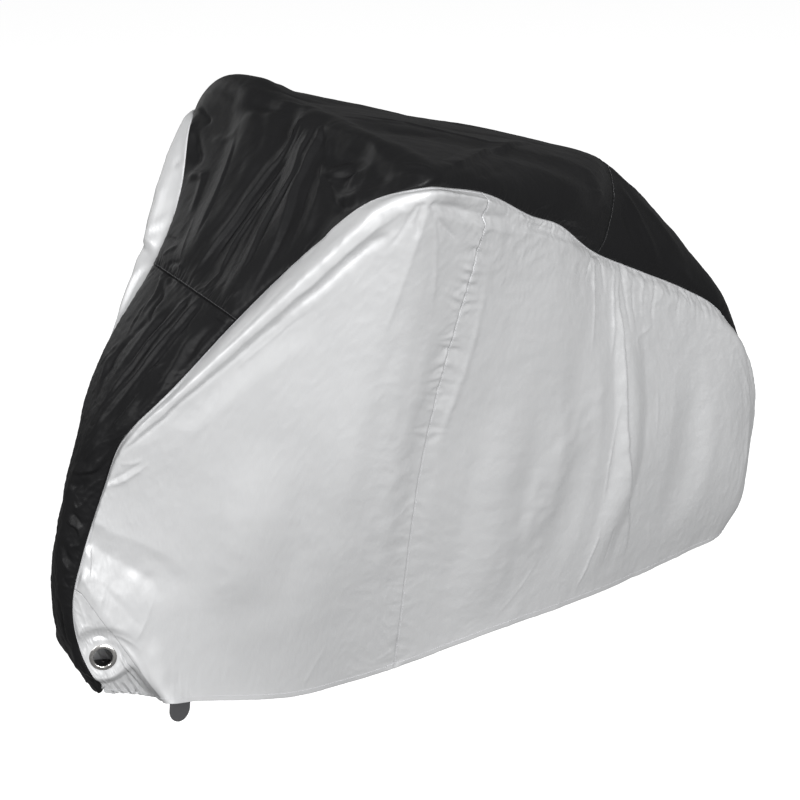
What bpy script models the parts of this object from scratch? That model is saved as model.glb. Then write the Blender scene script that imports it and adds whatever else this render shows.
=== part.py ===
"""Fitted cover for a two-wheeled cycle, as it hangs over its carrier: hollow, open below, silver sides, black strip on top.

Metres. X runs from the front of the cover (-X) to its rear (+X), Z is up, the near side is -Y. Every panel is drawn in
an upright frame whose z = 0 is the ground and whose y = 0 is the cover's middle plane. One empty then leans the
whole cover a little to the near side and brings the underside of its top, over the front crest, to the origin.

The shape hangs on five rails that run from the front hem (station 0) over the top to the rear hem (station 100):
the spine on the middle plane, the seam between the black strip and the silver side, the tension line just below that
seam, a line half-way down the side, and the hem.
"""

from math import cos, pi, radians, sin

import bmesh
import bpy
import numpy as np
from mathutils import Matrix, Vector

# ---------------------------------------------------------------- driving dimensions

CLOTH = 0.0015  # thickness of every panel
GAP = 0.0003  # left between pieces that are sewn together
LEAN = radians(2.5)  # the cover stands a little over to its near side

FLAP_END = 12.0  # station of the fold where the front corner flap turns into the side
FRONT_SEAM = 33.0  # station of the cross seam of the black strip, below the front crest
CREST = 46.0  # station of the highest line of the cover, across its front
JOIN_SEAM = 52.0  # station of the upright seam in each silver side
REAR_SEAM = 70.0  # station of the cross seam of the black strip, where it turns down to the rear
LAST = 100.0

EYELET_STATION = 8.3  # where the eyelet sits on the corner flap
EYELET_DEPTH = 0.48  # its share of the way from the seam to the hem
EYELET_LIFT = 0.32  # rise over run by which the eyelet looks up from the flap's own face
EYELET_OUTER = 0.0240  # radius of the eyelet's flange
EYELET_HOLE = 0.0165  # radius of its clear opening
EYELET_BARREL = 0.0012  # wall of the barrel that goes through the cloth
FLANGE = 0.0011  # thickness of each flange
FLAT_ZONE = 0.042  # the cloth lies flat this far from the eyelet's middle
BLEND_ZONE = 0.066  # and is back in its own shape this far from it

BAND_WIDTH = 0.022  # black elastic band inside the gathered hem of the corner flap
BAND_SHOWS = 0.006  # how far it reaches below that hem
BAND_THICK = 0.0015
BAND_FROM, BAND_TO = 3.5, 10.6  # its stations
BAND_FACETS = 8

TAB_END = 0.023  # radius of the round end of the black webbing tab sewn inside the near hem
TAB_SHOWS = 0.036  # how far it hangs below the hem
TAB_THICK = 0.0020
TAB_FROM, TAB_TO = 13.2, 15.8  # the stations of its two edges, where it is sewn to the hem
TAB_INSET = 0.0085  # from the outer face of the side to the tab
TAB_SEWN = 0.010  # height of the tab above the hem

CLEARANCE = 0.0022  # between the cloth and a loose piece inside it

# ---------------------------------------------------------------- rails

# station, x, z
SPINE = (
    (0, -0.852, 0.180),
    (5, -0.894, 0.275),
    (11, -0.908, 0.400),
    (20, -0.863, 0.612),
    (25, -0.824, 0.697),
    (28, -0.768, 0.775),
    (33, -0.638, 0.912),
    (40, -0.480, 1.090),
    (44, -0.425, 1.150),
    (46, -0.388, 1.180),
    (48, -0.348, 1.174),
    (56, -0.150, 1.129),
    (64, 0.110, 1.062),
    (70, 0.262, 1.008),
    (73, 0.332, 0.952),
    (76, 0.398, 0.890),
    (79, 0.466, 0.822),
    (84, 0.568, 0.703),
    (88, 0.646, 0.582),
    (92, 0.715, 0.450),
    (95, 0.730, 0.320),
    (98, 0.712, 0.210),
    (100, 0.680, 0.150),
)

# station, power of the superellipse that rounds the black strip from spine to seam (2 is an ellipse, more is boxier)
SQUARENESS = (
    (0, 2.0),
    (20, 1.9),
    (26, 1.7),
    (33, 2.6),
    (40, 3.6),
    (44, 3.8),
    (48, 3.8),
    (52, 3.4),
    (58, 3.2),
    (66, 2.2),
    (70, 1.4),
    (74, 1.8),
    (80, 2.2),
    (100, 2.2),
)

# station, x, distance from the middle plane, z
SEAM = (
    (0, -0.848, 0.045, 0.211),
    (5, -0.884, 0.045, 0.293),
    (11, -0.890, 0.040, 0.400),
    (15, -0.868, 0.041, 0.480),
    (20, -0.825, 0.050, 0.605),
    (23, -0.800, 0.062, 0.680),
    (25, -0.785, 0.085, 0.718),
    (28, -0.735, 0.119, 0.782),
    (33, -0.625, 0.152, 0.899),
    (38, -0.540, 0.214, 1.011),
    (42, -0.476, 0.297, 1.112),
    (46, -0.410, 0.366, 1.147),
    (49, -0.345, 0.345, 1.131),
    (52, -0.268, 0.320, 1.107),
    (58, -0.120, 0.262, 1.030),
    (64, -0.020, 0.225, 0.985),
    (70, 0.120, 0.165, 0.893),
    (75, 0.265, 0.135, 0.822),
    (79, 0.400, 0.115, 0.757),
    (84, 0.530, 0.100, 0.675),
    (88, 0.630, 0.070, 0.560),
    (92, 0.690, 0.052, 0.430),
    (96, 0.700, 0.047, 0.290),
    (100, 0.665, 0.045, 0.165),
)

TENSION = (
    (0, -0.8475, 0.0455, 0.208),
    (6, -0.884, 0.049, 0.301),
    (9, -0.886, 0.050, 0.352),
    (12, -0.875, 0.051, 0.409),
    (20, -0.822, 0.066, 0.600),
    (25, -0.780, 0.104, 0.708),
    (28, -0.731, 0.147, 0.774),
    (33, -0.634, 0.210, 0.893),
    (38, -0.553, 0.280, 1.003),
    (42, -0.482, 0.342, 1.093),
    (46, -0.412, 0.380, 1.120),
    (50, -0.315, 0.350, 1.085),
    (56, -0.170, 0.290, 1.015),
    (64, -0.020, 0.240, 0.945),
    (72, 0.170, 0.172, 0.830),
    (80, 0.425, 0.138, 0.700),
    (86, 0.582, 0.130, 0.585),
    (91, 0.661, 0.108, 0.440),
    (96, 0.674, 0.084, 0.270),
    (100, 0.668, 0.056, 0.160),
)

HALF_WAY = (
    (0, -0.847, 0.046, 0.205),
    (3, -0.854, 0.052, 0.230),
    (6, -0.857, 0.058, 0.258),
    (9, -0.846, 0.067, 0.286),
    (12, -0.819, 0.078, 0.297),
    (20, -0.732, 0.108, 0.420),
    (30, -0.618, 0.174, 0.520),
    (40, -0.514, 0.246, 0.620),
    (46, -0.430, 0.288, 0.680),
    (52, -0.332, 0.282, 0.660),
    (60, -0.110, 0.252, 0.600),
    (70, 0.155, 0.202, 0.520),
    (80, 0.380, 0.166, 0.430),
    (88, 0.550, 0.150, 0.340),
    (94, 0.640, 0.125, 0.240),
    (100, 0.668, 0.070, 0.153),
)

HEM = (
    (0, -0.846, 0.047, 0.198),
    (4, -0.834, 0.050, 0.194),
    (8, -0.793, 0.055, 0.180),
    (10.5, -0.755, 0.064, 0.162),
    (12, -0.761, 0.105, 0.179),
    (16, -0.699, 0.110, 0.163),
    (22, -0.600, 0.118, 0.135),
    (30, -0.520, 0.130, 0.118),
    (40, -0.430, 0.150, 0.120),
    (52, -0.320, 0.180, 0.140),
    (62, -0.130, 0.210, 0.168),
    (72, 0.100, 0.190, 0.153),
    (82, 0.330, 0.145, 0.128),
    (90, 0.500, 0.120, 0.123),
    (95, 0.605, 0.105, 0.126),
    (100, 0.667, 0.050, 0.140),
)

# The far side isn't quite the near one: how far its line of tension is drawn back along x, and how much lower its seam
# and its line of tension lie.
# station, drawn back, lower
FAR_SIDE = (
    (0, 0.0, 0.0),
    (20, 0.0, 0.0),
    (22, 0.0, 0.0),
    (26, 0.016, 0.0),
    (29, 0.013, 0.0),
    (32, 0.003, 0.0),
    (35, 0.0, 0.0),
    (38, 0.002, 0.0),
    (42, 0.018, 0.006),
    (44, 0.022, 0.026),
    (46, 0.020, 0.046),
    (49, 0.0, 0.048),
    (52, 0.0, 0.040),
    (58, 0.0, 0.014),
    (64, 0.0, 0.0),
    (66, 0.0, 0.0),
    (100, 0.0, 0.0),
)

# Main folds, each a soft ridge (height above 0) or trough (below 0) along a line on the cloth. On the strip, place is
# how far across it lies, -1 near to 1 far. On the sides it is how far down, and the near side has its own height.
# cloth, station and place of one end, station and place of the other end, half-width, near height, far height
FOLDS = (
    ("side", 39.0, 0.15, 24.5, 0.12, 0.045, -0.007, -0.007),
    ("side", 35.5, 0.36, 25.0, 0.66, 0.090, 0.008, 0.006),
    ("side", 16.5, 0.08, 18.5, 0.62, 0.050, 0.009, 0.009),
    ("side", 51.6, 0.18, 51.2, 0.86, 0.055, -0.006, -0.006),
    ("side", 44.0, 0.30, 40.0, 0.80, 0.080, 0.009, 0.004),
    ("side", 58.5, 0.34, 60.0, 0.90, 0.085, 0.010, 0.006),
    ("side", 66.0, 0.22, 67.5, 0.88, 0.065, -0.008, -0.005),
    ("side", 72.3, 0.08, 73.4, 0.78, 0.055, 0.013, 0.010),
    ("side", 80.5, 0.18, 83.0, 0.74, 0.075, -0.009, -0.006),
    ("strip", 44.6, -0.05, 34.5, -0.66, 0.050, 0.007, 0.0),
    ("strip", 44.6, 0.10, 34.5, -0.22, 0.050, -0.007, 0.0),
    ("strip", 44.4, 0.45, 34.5, 0.30, 0.050, 0.006, 0.0),
    ("strip", 44.2, -0.55, 39.0, -0.86, 0.045, -0.006, 0.0),
    ("strip", 49.0, -0.30, 64.0, -0.60, 0.060, -0.007, 0.0),
    ("strip", 49.5, 0.30, 64.0, 0.50, 0.060, -0.006, 0.0),
    ("strip", 31.0, 0.20, 24.0, -0.30, 0.040, 0.005, 0.0),
    ("strip", 46.0, 0.54, 45.4, 0.74, 0.095, 0.016, 0.0),
)

RIB_KNOTS = (0.0, 0.10, 0.50, 1.0)  # how far down a side rib each of its four rails lies

# Facets: all panels share these station lines, so the edges that are sewn together have the same corners.
# from station, to station, number of facets
FACETS = ((0, 12, 16), (12, 33, 12), (33, 52, 12), (52, 70, 9), (70, 100, 16))
DOWN = (0.0, 0.05, 0.10, 0.19, 0.28, 0.37, 0.46, 0.55, 0.64, 0.75, 0.87, 1.0)
ACROSS = 10
FOLD_STEPS = 9

# ---------------------------------------------------------------- materials

# name: colour, roughness, metallic
FINISHES = {
    "silver_cloth": ((0.74, 0.75, 0.76), 0.38, 0.35),
    "black_cloth": ((0.022, 0.022, 0.024), 0.42, 0.0),
    "eyelet_metal": ((0.80, 0.79, 0.76), 0.22, 1.0),
    "black_webbing": ((0.018, 0.018, 0.019), 0.70, 0.0),
}


def make_material(name):
    colour, roughness, metallic = FINISHES[name]
    material = bpy.data.materials.new(name)
    material.use_nodes = True
    shader = material.node_tree.nodes["Principled BSDF"]
    shader.inputs["Base Color"].default_value = (*colour, 1.0)
    shader.inputs["Roughness"].default_value = roughness
    shader.inputs["Metallic"].default_value = metallic
    material.diffuse_color = (*colour, 1.0)
    return material


# ---------------------------------------------------------------- curves and surfaces


def smooth_through(knots, points, at, slopes=None):
    """A smooth curve through the rows of points, at the values in at."""
    if slopes is None:
        slopes = np.gradient(points, knots, axis=0)
    i = np.clip(np.searchsorted(knots, at, side="right") - 1, 0, len(knots) - 2)
    width = (knots[i + 1] - knots[i])[:, None]
    u = (at - knots[i])[:, None] / width
    return (
        (2 * u**3 - 3 * u**2 + 1) * points[i]
        + (u**3 - 2 * u**2 + u) * width * slopes[i]
        + (3 * u**2 - 2 * u**3) * points[i + 1]
        + (u**3 - u**2) * width * slopes[i + 1]
    )


def rail(table, stations):
    rows = np.asarray(table, float)
    return smooth_through(rows[:, 0], rows[:, 1:], np.asarray(stations, float))


def top_rails(stations, side):
    """The seam and the line of tension on one side, both with their distance from the middle plane."""
    seam, tension = rail(SEAM, stations), rail(TENSION, stations)
    if side > 0:
        drawn_back, lower = rail(FAR_SIDE, stations).T
        seam[:, 2] -= lower
        tension += np.stack([drawn_back, 0 * lower, -lower], axis=-1)
    return seam, tension


def strip_points(stations, across):
    """Black strip. across runs from -1, the near seam, over 0, the spine, to 1, the far seam, evenly by length."""
    spine = rail(SPINE, stations)
    power = rail(SQUARENESS, stations)
    turn = np.linspace(0.0, pi / 2, 241)[None, :]
    out = np.sin(turn) ** (2 / power)
    rise = np.maximum(np.cos(turn), 0.0) ** (2 / power)
    rise[:, -1] = 0.0
    grid = np.empty((len(stations), len(across), 3))
    for side, half in ((-1, across < 0), (1, across >= 0)):
        seam, _ = top_rails(stations, side)
        rib = np.stack(
            [
                seam[:, :1] + (spine[:, :1] - seam[:, :1]) * rise,
                seam[:, 1:2] * out * side,
                seam[:, 2:] + (spine[:, 1:] - seam[:, 2:]) * rise,
            ],
            axis=-1,
        )
        for row, line in zip(grid, rib):
            length = np.concatenate([[0.0], np.cumsum(np.linalg.norm(np.diff(line, axis=0), axis=1))])
            for axis in range(3):
                row[half, axis] = np.interp(np.abs(across[half]) * length[-1], length, line[:, axis])
    return grid


def side_points(stations, down, side):
    """Silver side. down runs from 0, the seam, to 1, the hem; side is -1 for near and 1 for far."""
    knots = np.asarray(RIB_KNOTS)
    rails = np.stack([*top_rails(stations, side), rail(HALF_WAY, stations), rail(HEM, stations)]).reshape(4, -1)
    slopes = np.gradient(rails, knots, axis=0)
    # the cloth turns over between the seam and the line of tension, and runs straight down from there
    slopes[1] = (rails[2] - rails[1]) / (knots[2] - knots[1])
    flat = smooth_through(knots, rails, np.asarray(down, float), slopes)
    grid = flat.reshape(len(down), -1, 3).transpose(1, 0, 2).copy()
    grid[..., 1] *= side
    return grid


def unit(vectors):
    return vectors / np.linalg.norm(vectors, axis=-1, keepdims=True)


def outward(points_at, stations, other, sign):
    """Unit normals of the surface points_at(stations, other), by small steps along both directions."""
    step_s, step_o = 0.02, 0.002
    lo, hi = np.clip(stations - step_s, 0, LAST), np.clip(stations + step_s, 0, LAST)
    along = points_at(hi, other) - points_at(lo, other)
    across = points_at(stations, other + step_o) - points_at(stations, other - step_o)
    return unit(np.cross(along, across)) * sign


def strip_normals(stations, across):
    inside = np.clip(across, -0.99, 0.99)
    normals = outward(strip_points, stations, inside, 1)
    # on the spine the strip is level across
    middle = np.isclose(across, 0.0)
    normals[:, middle, 1] = 0.0
    return unit(normals)


def side_normals(stations, down, side):
    inside = np.clip(down, 0.004, 0.996)
    return outward(lambda s, d: side_points(s, d, side), stations, inside, side)


def seam_normals(stations, side):
    """Both cloths that meet at the seam take this normal there, so their edges face each other squarely."""
    strip_edge = strip_normals(stations, np.array([side]))[:, 0]
    side_edge = side_normals(stations, np.array([0.0]), side)[:, 0]
    return unit(strip_edge + side_edge)


def fold_lines():
    """Every fold as its line in space, half-width and height; the folds of the sides come once for each side."""
    lines = []
    for cloth, station_a, place_a, station_b, place_b, half_width, near, far in FOLDS:
        stations = np.linspace(station_a, station_b, FOLD_STEPS)
        places = np.linspace(place_a, place_b, FOLD_STEPS)
        steps = np.arange(FOLD_STEPS)
        if cloth == "strip":
            lines.append((strip_points(stations, places)[steps, steps], half_width, near))
        else:
            for side, height in ((-1, near), (1, far)):
                lines.append((side_points(stations, places, side)[steps, steps], half_width, height))
    return lines


def distance_to_line(points, line):
    nearest = np.full(points.shape[:-1], np.inf)
    for start, end in zip(line, line[1:]):
        run = end - start
        share = np.clip(((points - start) @ run) / (run @ run), 0.0, 1.0)
        nearest = np.minimum(nearest, np.linalg.norm(points - start - share[..., None] * run, axis=-1))
    return nearest


def folded(face, normals):
    """The face with its main folds. Edges that are sewn together move together, because both read the same lines."""
    out = face.copy()
    for line, half_width, height in fold_lines():
        share = np.clip(1.0 - (distance_to_line(face, line) / half_width) ** 2, 0.0, 1.0) ** 2
        out += height * share[..., None] * normals
    return out


# ---------------------------------------------------------------- making solids


def object_of(name, mesh, material, parent, collection):
    thing = bpy.data.objects.new(name, mesh)
    mesh.materials.append(material)
    collection.objects.link(thing)
    thing.parent = parent
    return thing


def cloth_mesh(name, face, normals, thickness=CLOTH):
    """A closed sheet: face is its outer grid of points, and the inner face lies thickness behind it."""
    rows, columns = face.shape[:2]
    made = bmesh.new()
    outer = [[made.verts.new(p) for p in row] for row in face]
    inner = [[made.verts.new(p) for p in row] for row in face - thickness * normals]
    for i in range(rows - 1):
        for j in range(columns - 1):
            made.faces.new((outer[i][j], outer[i + 1][j], outer[i + 1][j + 1], outer[i][j + 1]))
            made.faces.new((inner[i][j], inner[i][j + 1], inner[i + 1][j + 1], inner[i + 1][j]))
    ring = (
        [(i, 0) for i in range(rows)]
        + [(rows - 1, j) for j in range(1, columns)]
        + [(i, columns - 1) for i in range(rows - 2, -1, -1)]
        + [(0, j) for j in range(columns - 2, 0, -1)]
    )
    # the edge is split the same way on both sides of a seam: from a lower outer point to the next inner one
    for (a, b), (c, d) in map(sorted, zip(ring, ring[1:] + ring[:1])):
        made.faces.new((outer[a][b], inner[a][b], inner[c][d]))
        made.faces.new((outer[a][b], inner[c][d], outer[c][d]))
    bmesh.ops.recalc_face_normals(made, faces=made.faces)
    mesh = bpy.data.meshes.new(name)
    made.to_mesh(mesh)
    made.free()
    mesh.shade_smooth()
    mesh.set_sharp_from_angle(angle=radians(50))
    return mesh


def draw_in(grid, start=0.0, end=0.0, first=0.0, last=0.0):
    """Pull the four edges of a grid inwards along its own lines: rows by start and end, columns by first and last."""
    out = grid.copy()
    out[0] += start * unit(grid[1] - grid[0])
    out[-1] += end * unit(grid[-2] - grid[-1])
    out[:, 0] += first * unit(grid[:, 1] - grid[:, 0])
    out[:, -1] += last * unit(grid[:, -2] - grid[:, -1])
    return out


def facet_stations(start, end):
    """The shared station lines from start to end."""
    lines = [np.linspace(a, b, count + 1) for a, b, count in FACETS]
    every = np.unique(np.concatenate(lines))
    return every[(every >= start) & (every <= end)]


# ---------------------------------------------------------------- the black strip


def black_panel(name, start, end, material, parent, collection):
    stations = facet_stations(start, end)
    across = np.linspace(-1.0, 1.0, ACROSS + 1)
    face = strip_points(stations, across)
    normals = strip_normals(stations, across)
    for column, side in ((0, -1), (-1, 1)):
        normals[:, column] = seam_normals(stations, side)
    face = folded(face, normals)
    for side in (-1, 1):
        face, normals = flatten_round_eyelet(face, normals, side)
    face = draw_in(
        face,
        start=GAP / 2 if start > 0 else 0.0,
        end=GAP / 2 if end < LAST else 0.0,
        first=GAP / 2,
        last=GAP / 2,
    )
    return object_of(name, cloth_mesh(name, face, normals), material, parent, collection)


# ---------------------------------------------------------------- the silver sides


def eyelet_place(side):
    """Middle of the eyelet on the outer face of the flap, and the direction it looks in."""
    stations, down = np.array([EYELET_STATION]), np.array([EYELET_DEPTH])
    middle = side_points(stations, down, side)[0, 0]
    looks = side_normals(stations, down, side)[0, 0] + np.array([0.0, 0.0, EYELET_LIFT])
    return middle, unit(looks)


def flatten_round_eyelet(face, normals, side):
    middle, looks = eyelet_place(side)
    away = np.linalg.norm(face - middle, axis=-1)
    share = np.clip((BLEND_ZONE - away) / (BLEND_ZONE - FLAT_ZONE), 0.0, 1.0)
    share = (share * share * (3 - 2 * share))[..., None]
    height = ((face - middle) @ looks)[..., None]
    return face - share * height * looks, unit(normals * (1 - share) + looks * share)


def silver_panel(name, start, end, side, material, parent, collection):
    stations = facet_stations(start, end)
    down = np.asarray(DOWN)
    face = side_points(stations, down, side)
    normals = side_normals(stations, down, side)
    normals[:, 0] = seam_normals(stations, side)
    face = folded(face, normals)
    face, normals = flatten_round_eyelet(face, normals, side)
    face = draw_in(
        face,
        start=GAP / 2 if start > 0 else 0.0,
        end=GAP / 2 if end < LAST else 0.0,
        first=GAP / 2,
    )
    return object_of(name, cloth_mesh(name, face, normals), material, parent, collection)


# ---------------------------------------------------------------- eyelets


def turned_to(middle, looks):
    """Matrix that brings +Z to looks and the origin to middle."""
    return Matrix.Translation(Vector(middle)) @ Vector(looks).to_track_quat("Z", "Y").to_matrix().to_4x4()


def punch(panel, side, guides):
    """Cut the hole for the eyelet's barrel through the flap."""
    middle, looks = eyelet_place(side)
    made = bmesh.new()
    radius = EYELET_HOLE + EYELET_BARREL + GAP
    bmesh.ops.create_cone(made, cap_ends=True, segments=20, radius1=radius, radius2=radius, depth=0.03)
    mesh = bpy.data.meshes.new("eyelet_punch")
    made.to_mesh(mesh)
    made.free()
    mesh.transform(turned_to(middle, looks))
    cutter = bpy.data.objects.new("eyelet_punch", mesh)
    cutter.hide_render = True
    cutter.display_type = "WIRE"
    guides.objects.link(cutter)
    cutter.parent = panel.parent
    cut = panel.modifiers.new("eyelet hole", "BOOLEAN")
    cut.operation = "DIFFERENCE"
    cut.solver = "EXACT"
    cut.object = cutter


def eyelet(name, side, material, parent, collection):
    """Two rolled flanges and the barrel between them, turned about the eyelet's own axis."""
    middle, looks = eyelet_place(side)
    top = GAP  # outer flange sits this far off the cloth
    under = -CLOTH - GAP
    outer, hole, barrel = EYELET_OUTER, EYELET_HOLE, EYELET_HOLE + EYELET_BARREL
    crown = 2.0 * FLANGE
    profile = (
        # distance from the axis, height: down the outside, round the inner flange and up the bore
        (outer, top),
        (barrel, top),
        (barrel, under),
        (outer - 0.002, under),
        (outer - 0.002, under - FLANGE),
        (hole, under - FLANGE),
        (hole, top + 0.7 * crown),
        (hole + 0.0012, top + crown),
        ((hole + outer) / 2, top + crown),
        (outer - 0.001, top + 0.6 * crown),
    )
    mesh = bpy.data.meshes.new(name)
    mesh.from_pydata([(r, 0.0, z) for r, z in profile], [(i, (i + 1) % len(profile)) for i in range(len(profile))], [])
    thing = object_of(name, mesh, material, parent, collection)
    thing.matrix_local = turned_to(middle, looks)
    turn = thing.modifiers.new("turn", "SCREW")
    turn.axis = "Z"
    turn.steps = turn.render_steps = 20
    turn.use_merge_vertices = True
    turn.merge_threshold = 0.0001
    turn.use_smooth_shade = True
    return thing


# ---------------------------------------------------------------- elastic band and webbing tab


def elastic_band(name, side, material, parent, collection):
    """Black band along the inside of the flap's gathered hem; its lower edge shows below the silver cloth."""
    stations = np.linspace(BAND_FROM, BAND_TO, BAND_FACETS + 1)
    hem = side_points(stations, np.array([0.9, 1.0]), side)
    looks = side_normals(stations, np.array([0.9, 1.0]), side)[:, 1]
    down = unit(hem[:, 1] - hem[:, 0])
    edge = hem[:, 1] - looks * (CLOTH + CLEARANCE)
    face = np.stack([edge + down * (BAND_SHOWS - BAND_WIDTH), edge + down * BAND_SHOWS], axis=1)
    normals = np.stack([looks, looks], axis=1)
    return object_of(name, cloth_mesh(name, face, normals, BAND_THICK), material, parent, collection)


def webbing_tab(name, side, material, parent, collection):
    """Flat black tab with a round end, sewn inside the hem of the side and hanging out below it."""
    ends = side_points(np.array([TAB_FROM, TAB_TO]), np.array([0.9, 1.0]), side)
    middle = Vector(ends[:, 1].mean(axis=0))
    along = Vector(unit(ends[1, 1] - ends[0, 1]))
    rise = middle - Vector(ends[:, 0].mean(axis=0))
    down = (rise - rise.dot(along) * along).normalized()
    out = along.cross(down) * side
    curve = bpy.data.curves.new(name, "CURVE")
    curve.dimensions = "2D"
    curve.fill_mode = "BOTH"
    curve.extrude = TAB_THICK / 2
    length = TAB_SHOWS + TAB_SEWN
    outline = [(-TAB_END, length)]
    outline += [(-TAB_END * cos(a), TAB_END - TAB_END * sin(a)) for a in np.linspace(0, pi, 17)]
    outline += [(TAB_END, length)]
    line = curve.splines.new("POLY")
    line.points.add(len(outline) - 1)
    for point, (x, y) in zip(line.points, outline):
        point.co = (x, y, 0.0, 1.0)
    line.use_cyclic_u = True
    thing = object_of(name, curve, material, parent, collection)
    basis = Matrix((along, -down, along.cross(-down))).transposed().to_4x4()
    low_end = middle - out * TAB_INSET + down * TAB_SHOWS
    thing.matrix_local = Matrix.Translation(low_end) @ basis
    return thing


# ---------------------------------------------------------------- the cover


def cover_frame(collection):
    """The empty that leans the cover and brings the underside of its crest to the origin."""
    frame = bpy.data.objects.new("cover_frame", None)
    collection.objects.link(frame)
    x, z = rail(SPINE, [CREST])[0]
    lean = Matrix.Rotation(LEAN, 4, "X")
    under_crest = lean @ Vector((x, 0.0, z - CLOTH))
    frame.matrix_world = Matrix.Translation(-under_crest) @ lean
    return frame


def build():
    for thing in list(bpy.data.objects):
        bpy.data.objects.remove(thing)
    cover = bpy.data.collections.new("bicycle_cover")
    guides = bpy.data.collections.new("guides")
    for collection in (cover, guides):
        bpy.context.scene.collection.children.link(collection)
    frame = cover_frame(cover)
    finish = {name: make_material(name) for name in FINISHES}

    black_panel("black_front", 0.0, FRONT_SEAM, finish["black_cloth"], frame, cover)
    black_panel("black_top", FRONT_SEAM, REAR_SEAM, finish["black_cloth"], frame, cover)
    black_panel("black_rear", REAR_SEAM, LAST, finish["black_cloth"], frame, cover)

    for word, side in (("near", -1), ("far", 1)):
        flap = silver_panel(f"flap_{word}", 0.0, FLAP_END, side, finish["silver_cloth"], frame, cover)
        punch(flap, side, guides)
        silver_panel(f"side_front_{word}", FLAP_END, JOIN_SEAM, side, finish["silver_cloth"], frame, cover)
        silver_panel(f"side_rear_{word}", JOIN_SEAM, LAST, side, finish["silver_cloth"], frame, cover)
        eyelet(f"eyelet_{word}", side, finish["eyelet_metal"], frame, cover)
        elastic_band(f"elastic_{word}", side, finish["black_webbing"], frame, cover)
    webbing_tab("tab_near", -1, finish["black_webbing"], frame, cover)


build()
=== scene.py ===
"""Looks of the fitted bicycle cover: silver sides, black strip over the top, eyelets, elastic bands and tab.

Metres. Every panel is sewn up here as a thin sheet on the same rails as its solid, in an upright frame whose
z = 0 is the ground and whose y = 0 is the cover's middle plane, and then leaned and moved to the row's frame.
A panel is ruled by stations, 0 at the front hem to 100 at the rear hem, and by places: on a side how far down
it lies, from 0 at the seam to 1 at the hem, and on the strip how far across, from -1 near to 1 far.
"""

from math import cos, pi, radians, sin

import bmesh
import bpy
import numpy as np
from mathutils import Matrix, Vector


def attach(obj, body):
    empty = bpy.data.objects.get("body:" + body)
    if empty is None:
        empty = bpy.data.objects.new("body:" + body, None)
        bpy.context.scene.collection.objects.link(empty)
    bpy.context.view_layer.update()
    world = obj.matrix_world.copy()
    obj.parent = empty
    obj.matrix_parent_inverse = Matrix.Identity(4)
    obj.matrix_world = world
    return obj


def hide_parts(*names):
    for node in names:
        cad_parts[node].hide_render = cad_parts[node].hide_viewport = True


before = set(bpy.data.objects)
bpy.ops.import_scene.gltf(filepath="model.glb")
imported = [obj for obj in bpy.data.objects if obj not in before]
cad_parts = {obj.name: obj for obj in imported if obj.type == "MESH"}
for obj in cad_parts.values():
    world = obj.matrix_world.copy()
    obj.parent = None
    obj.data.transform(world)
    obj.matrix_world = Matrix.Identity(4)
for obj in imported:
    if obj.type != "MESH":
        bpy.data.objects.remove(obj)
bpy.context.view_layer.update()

# ---------------------------------------------------------------- sizes shared with the solids

CLOTH = 0.0015  # thickness
LEAN = radians(2.5)  # the cover stands a little over to its near side
LAST = 100.0
FLAP_END, FRONT_SEAM, CREST, JOIN_SEAM, REAR_SEAM = 12.0, 33.0, 46.0, 52.0, 70.0  # stations

EYELET_STATION, EYELET_DEPTH = 8.3, 0.48  # its station and place on the flap
EYELET_LIFT = 0.32  # how far it is turned up from the cloth's own direction
EYELET_OUTER, EYELET_HOLE = 0.0240, 0.0165  # radii
EYELET_BARREL = 0.0012  # wall of the barrel that goes through the cloth
FLANGE = 0.0011  # thickness
FLAT_ZONE, BLEND_ZONE = 0.042, 0.066  # the flap is flat within the first radius and free beyond the second

BAND_WIDTH, BAND_SHOWS, BAND_THICK = 0.022, 0.006, 0.0015  # the elastic band; what shows is below the hem
BAND_FROM, BAND_TO = 3.5, 10.6  # stations
CLEARANCE = 0.0022  # between the hem and the band inside it
TAB_END, TAB_THICK = 0.023, 0.0020  # radius of the tab's round end, which is half its width too
TAB_SHOWS, TAB_SEWN, TAB_INSET = 0.036, 0.010, 0.0085  # below the hem, above it, and how far inside the cloth
TAB_FROM, TAB_TO = 13.2, 15.8  # stations

# ---------------------------------------------------------------- rails

# station, x, z
SPINE = (
    (0, -0.852, 0.180),
    (5, -0.894, 0.275),
    (11, -0.908, 0.400),
    (20, -0.863, 0.612),
    (25, -0.824, 0.697),
    (28, -0.768, 0.775),
    (33, -0.638, 0.912),
    (40, -0.480, 1.090),
    (44, -0.425, 1.150),
    (46, -0.388, 1.180),
    (48, -0.348, 1.174),
    (56, -0.150, 1.129),
    (64, 0.110, 1.062),
    (70, 0.262, 1.008),
    (73, 0.332, 0.952),
    (76, 0.398, 0.890),
    (79, 0.466, 0.822),
    (84, 0.568, 0.703),
    (88, 0.646, 0.582),
    (92, 0.715, 0.450),
    (95, 0.730, 0.320),
    (98, 0.712, 0.210),
    (100, 0.680, 0.150),
)

# The superellipse that rounds the black strip from spine to seam: a power of 2 is an ellipse, more is boxier.
# station, power
SQUARENESS = (
    (0, 2.0),
    (20, 1.9),
    (26, 1.7),
    (33, 2.6),
    (40, 3.6),
    (44, 3.8),
    (48, 3.8),
    (52, 3.4),
    (58, 3.2),
    (66, 2.2),
    (70, 1.4),
    (74, 1.8),
    (80, 2.2),
    (100, 2.2),
)

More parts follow.
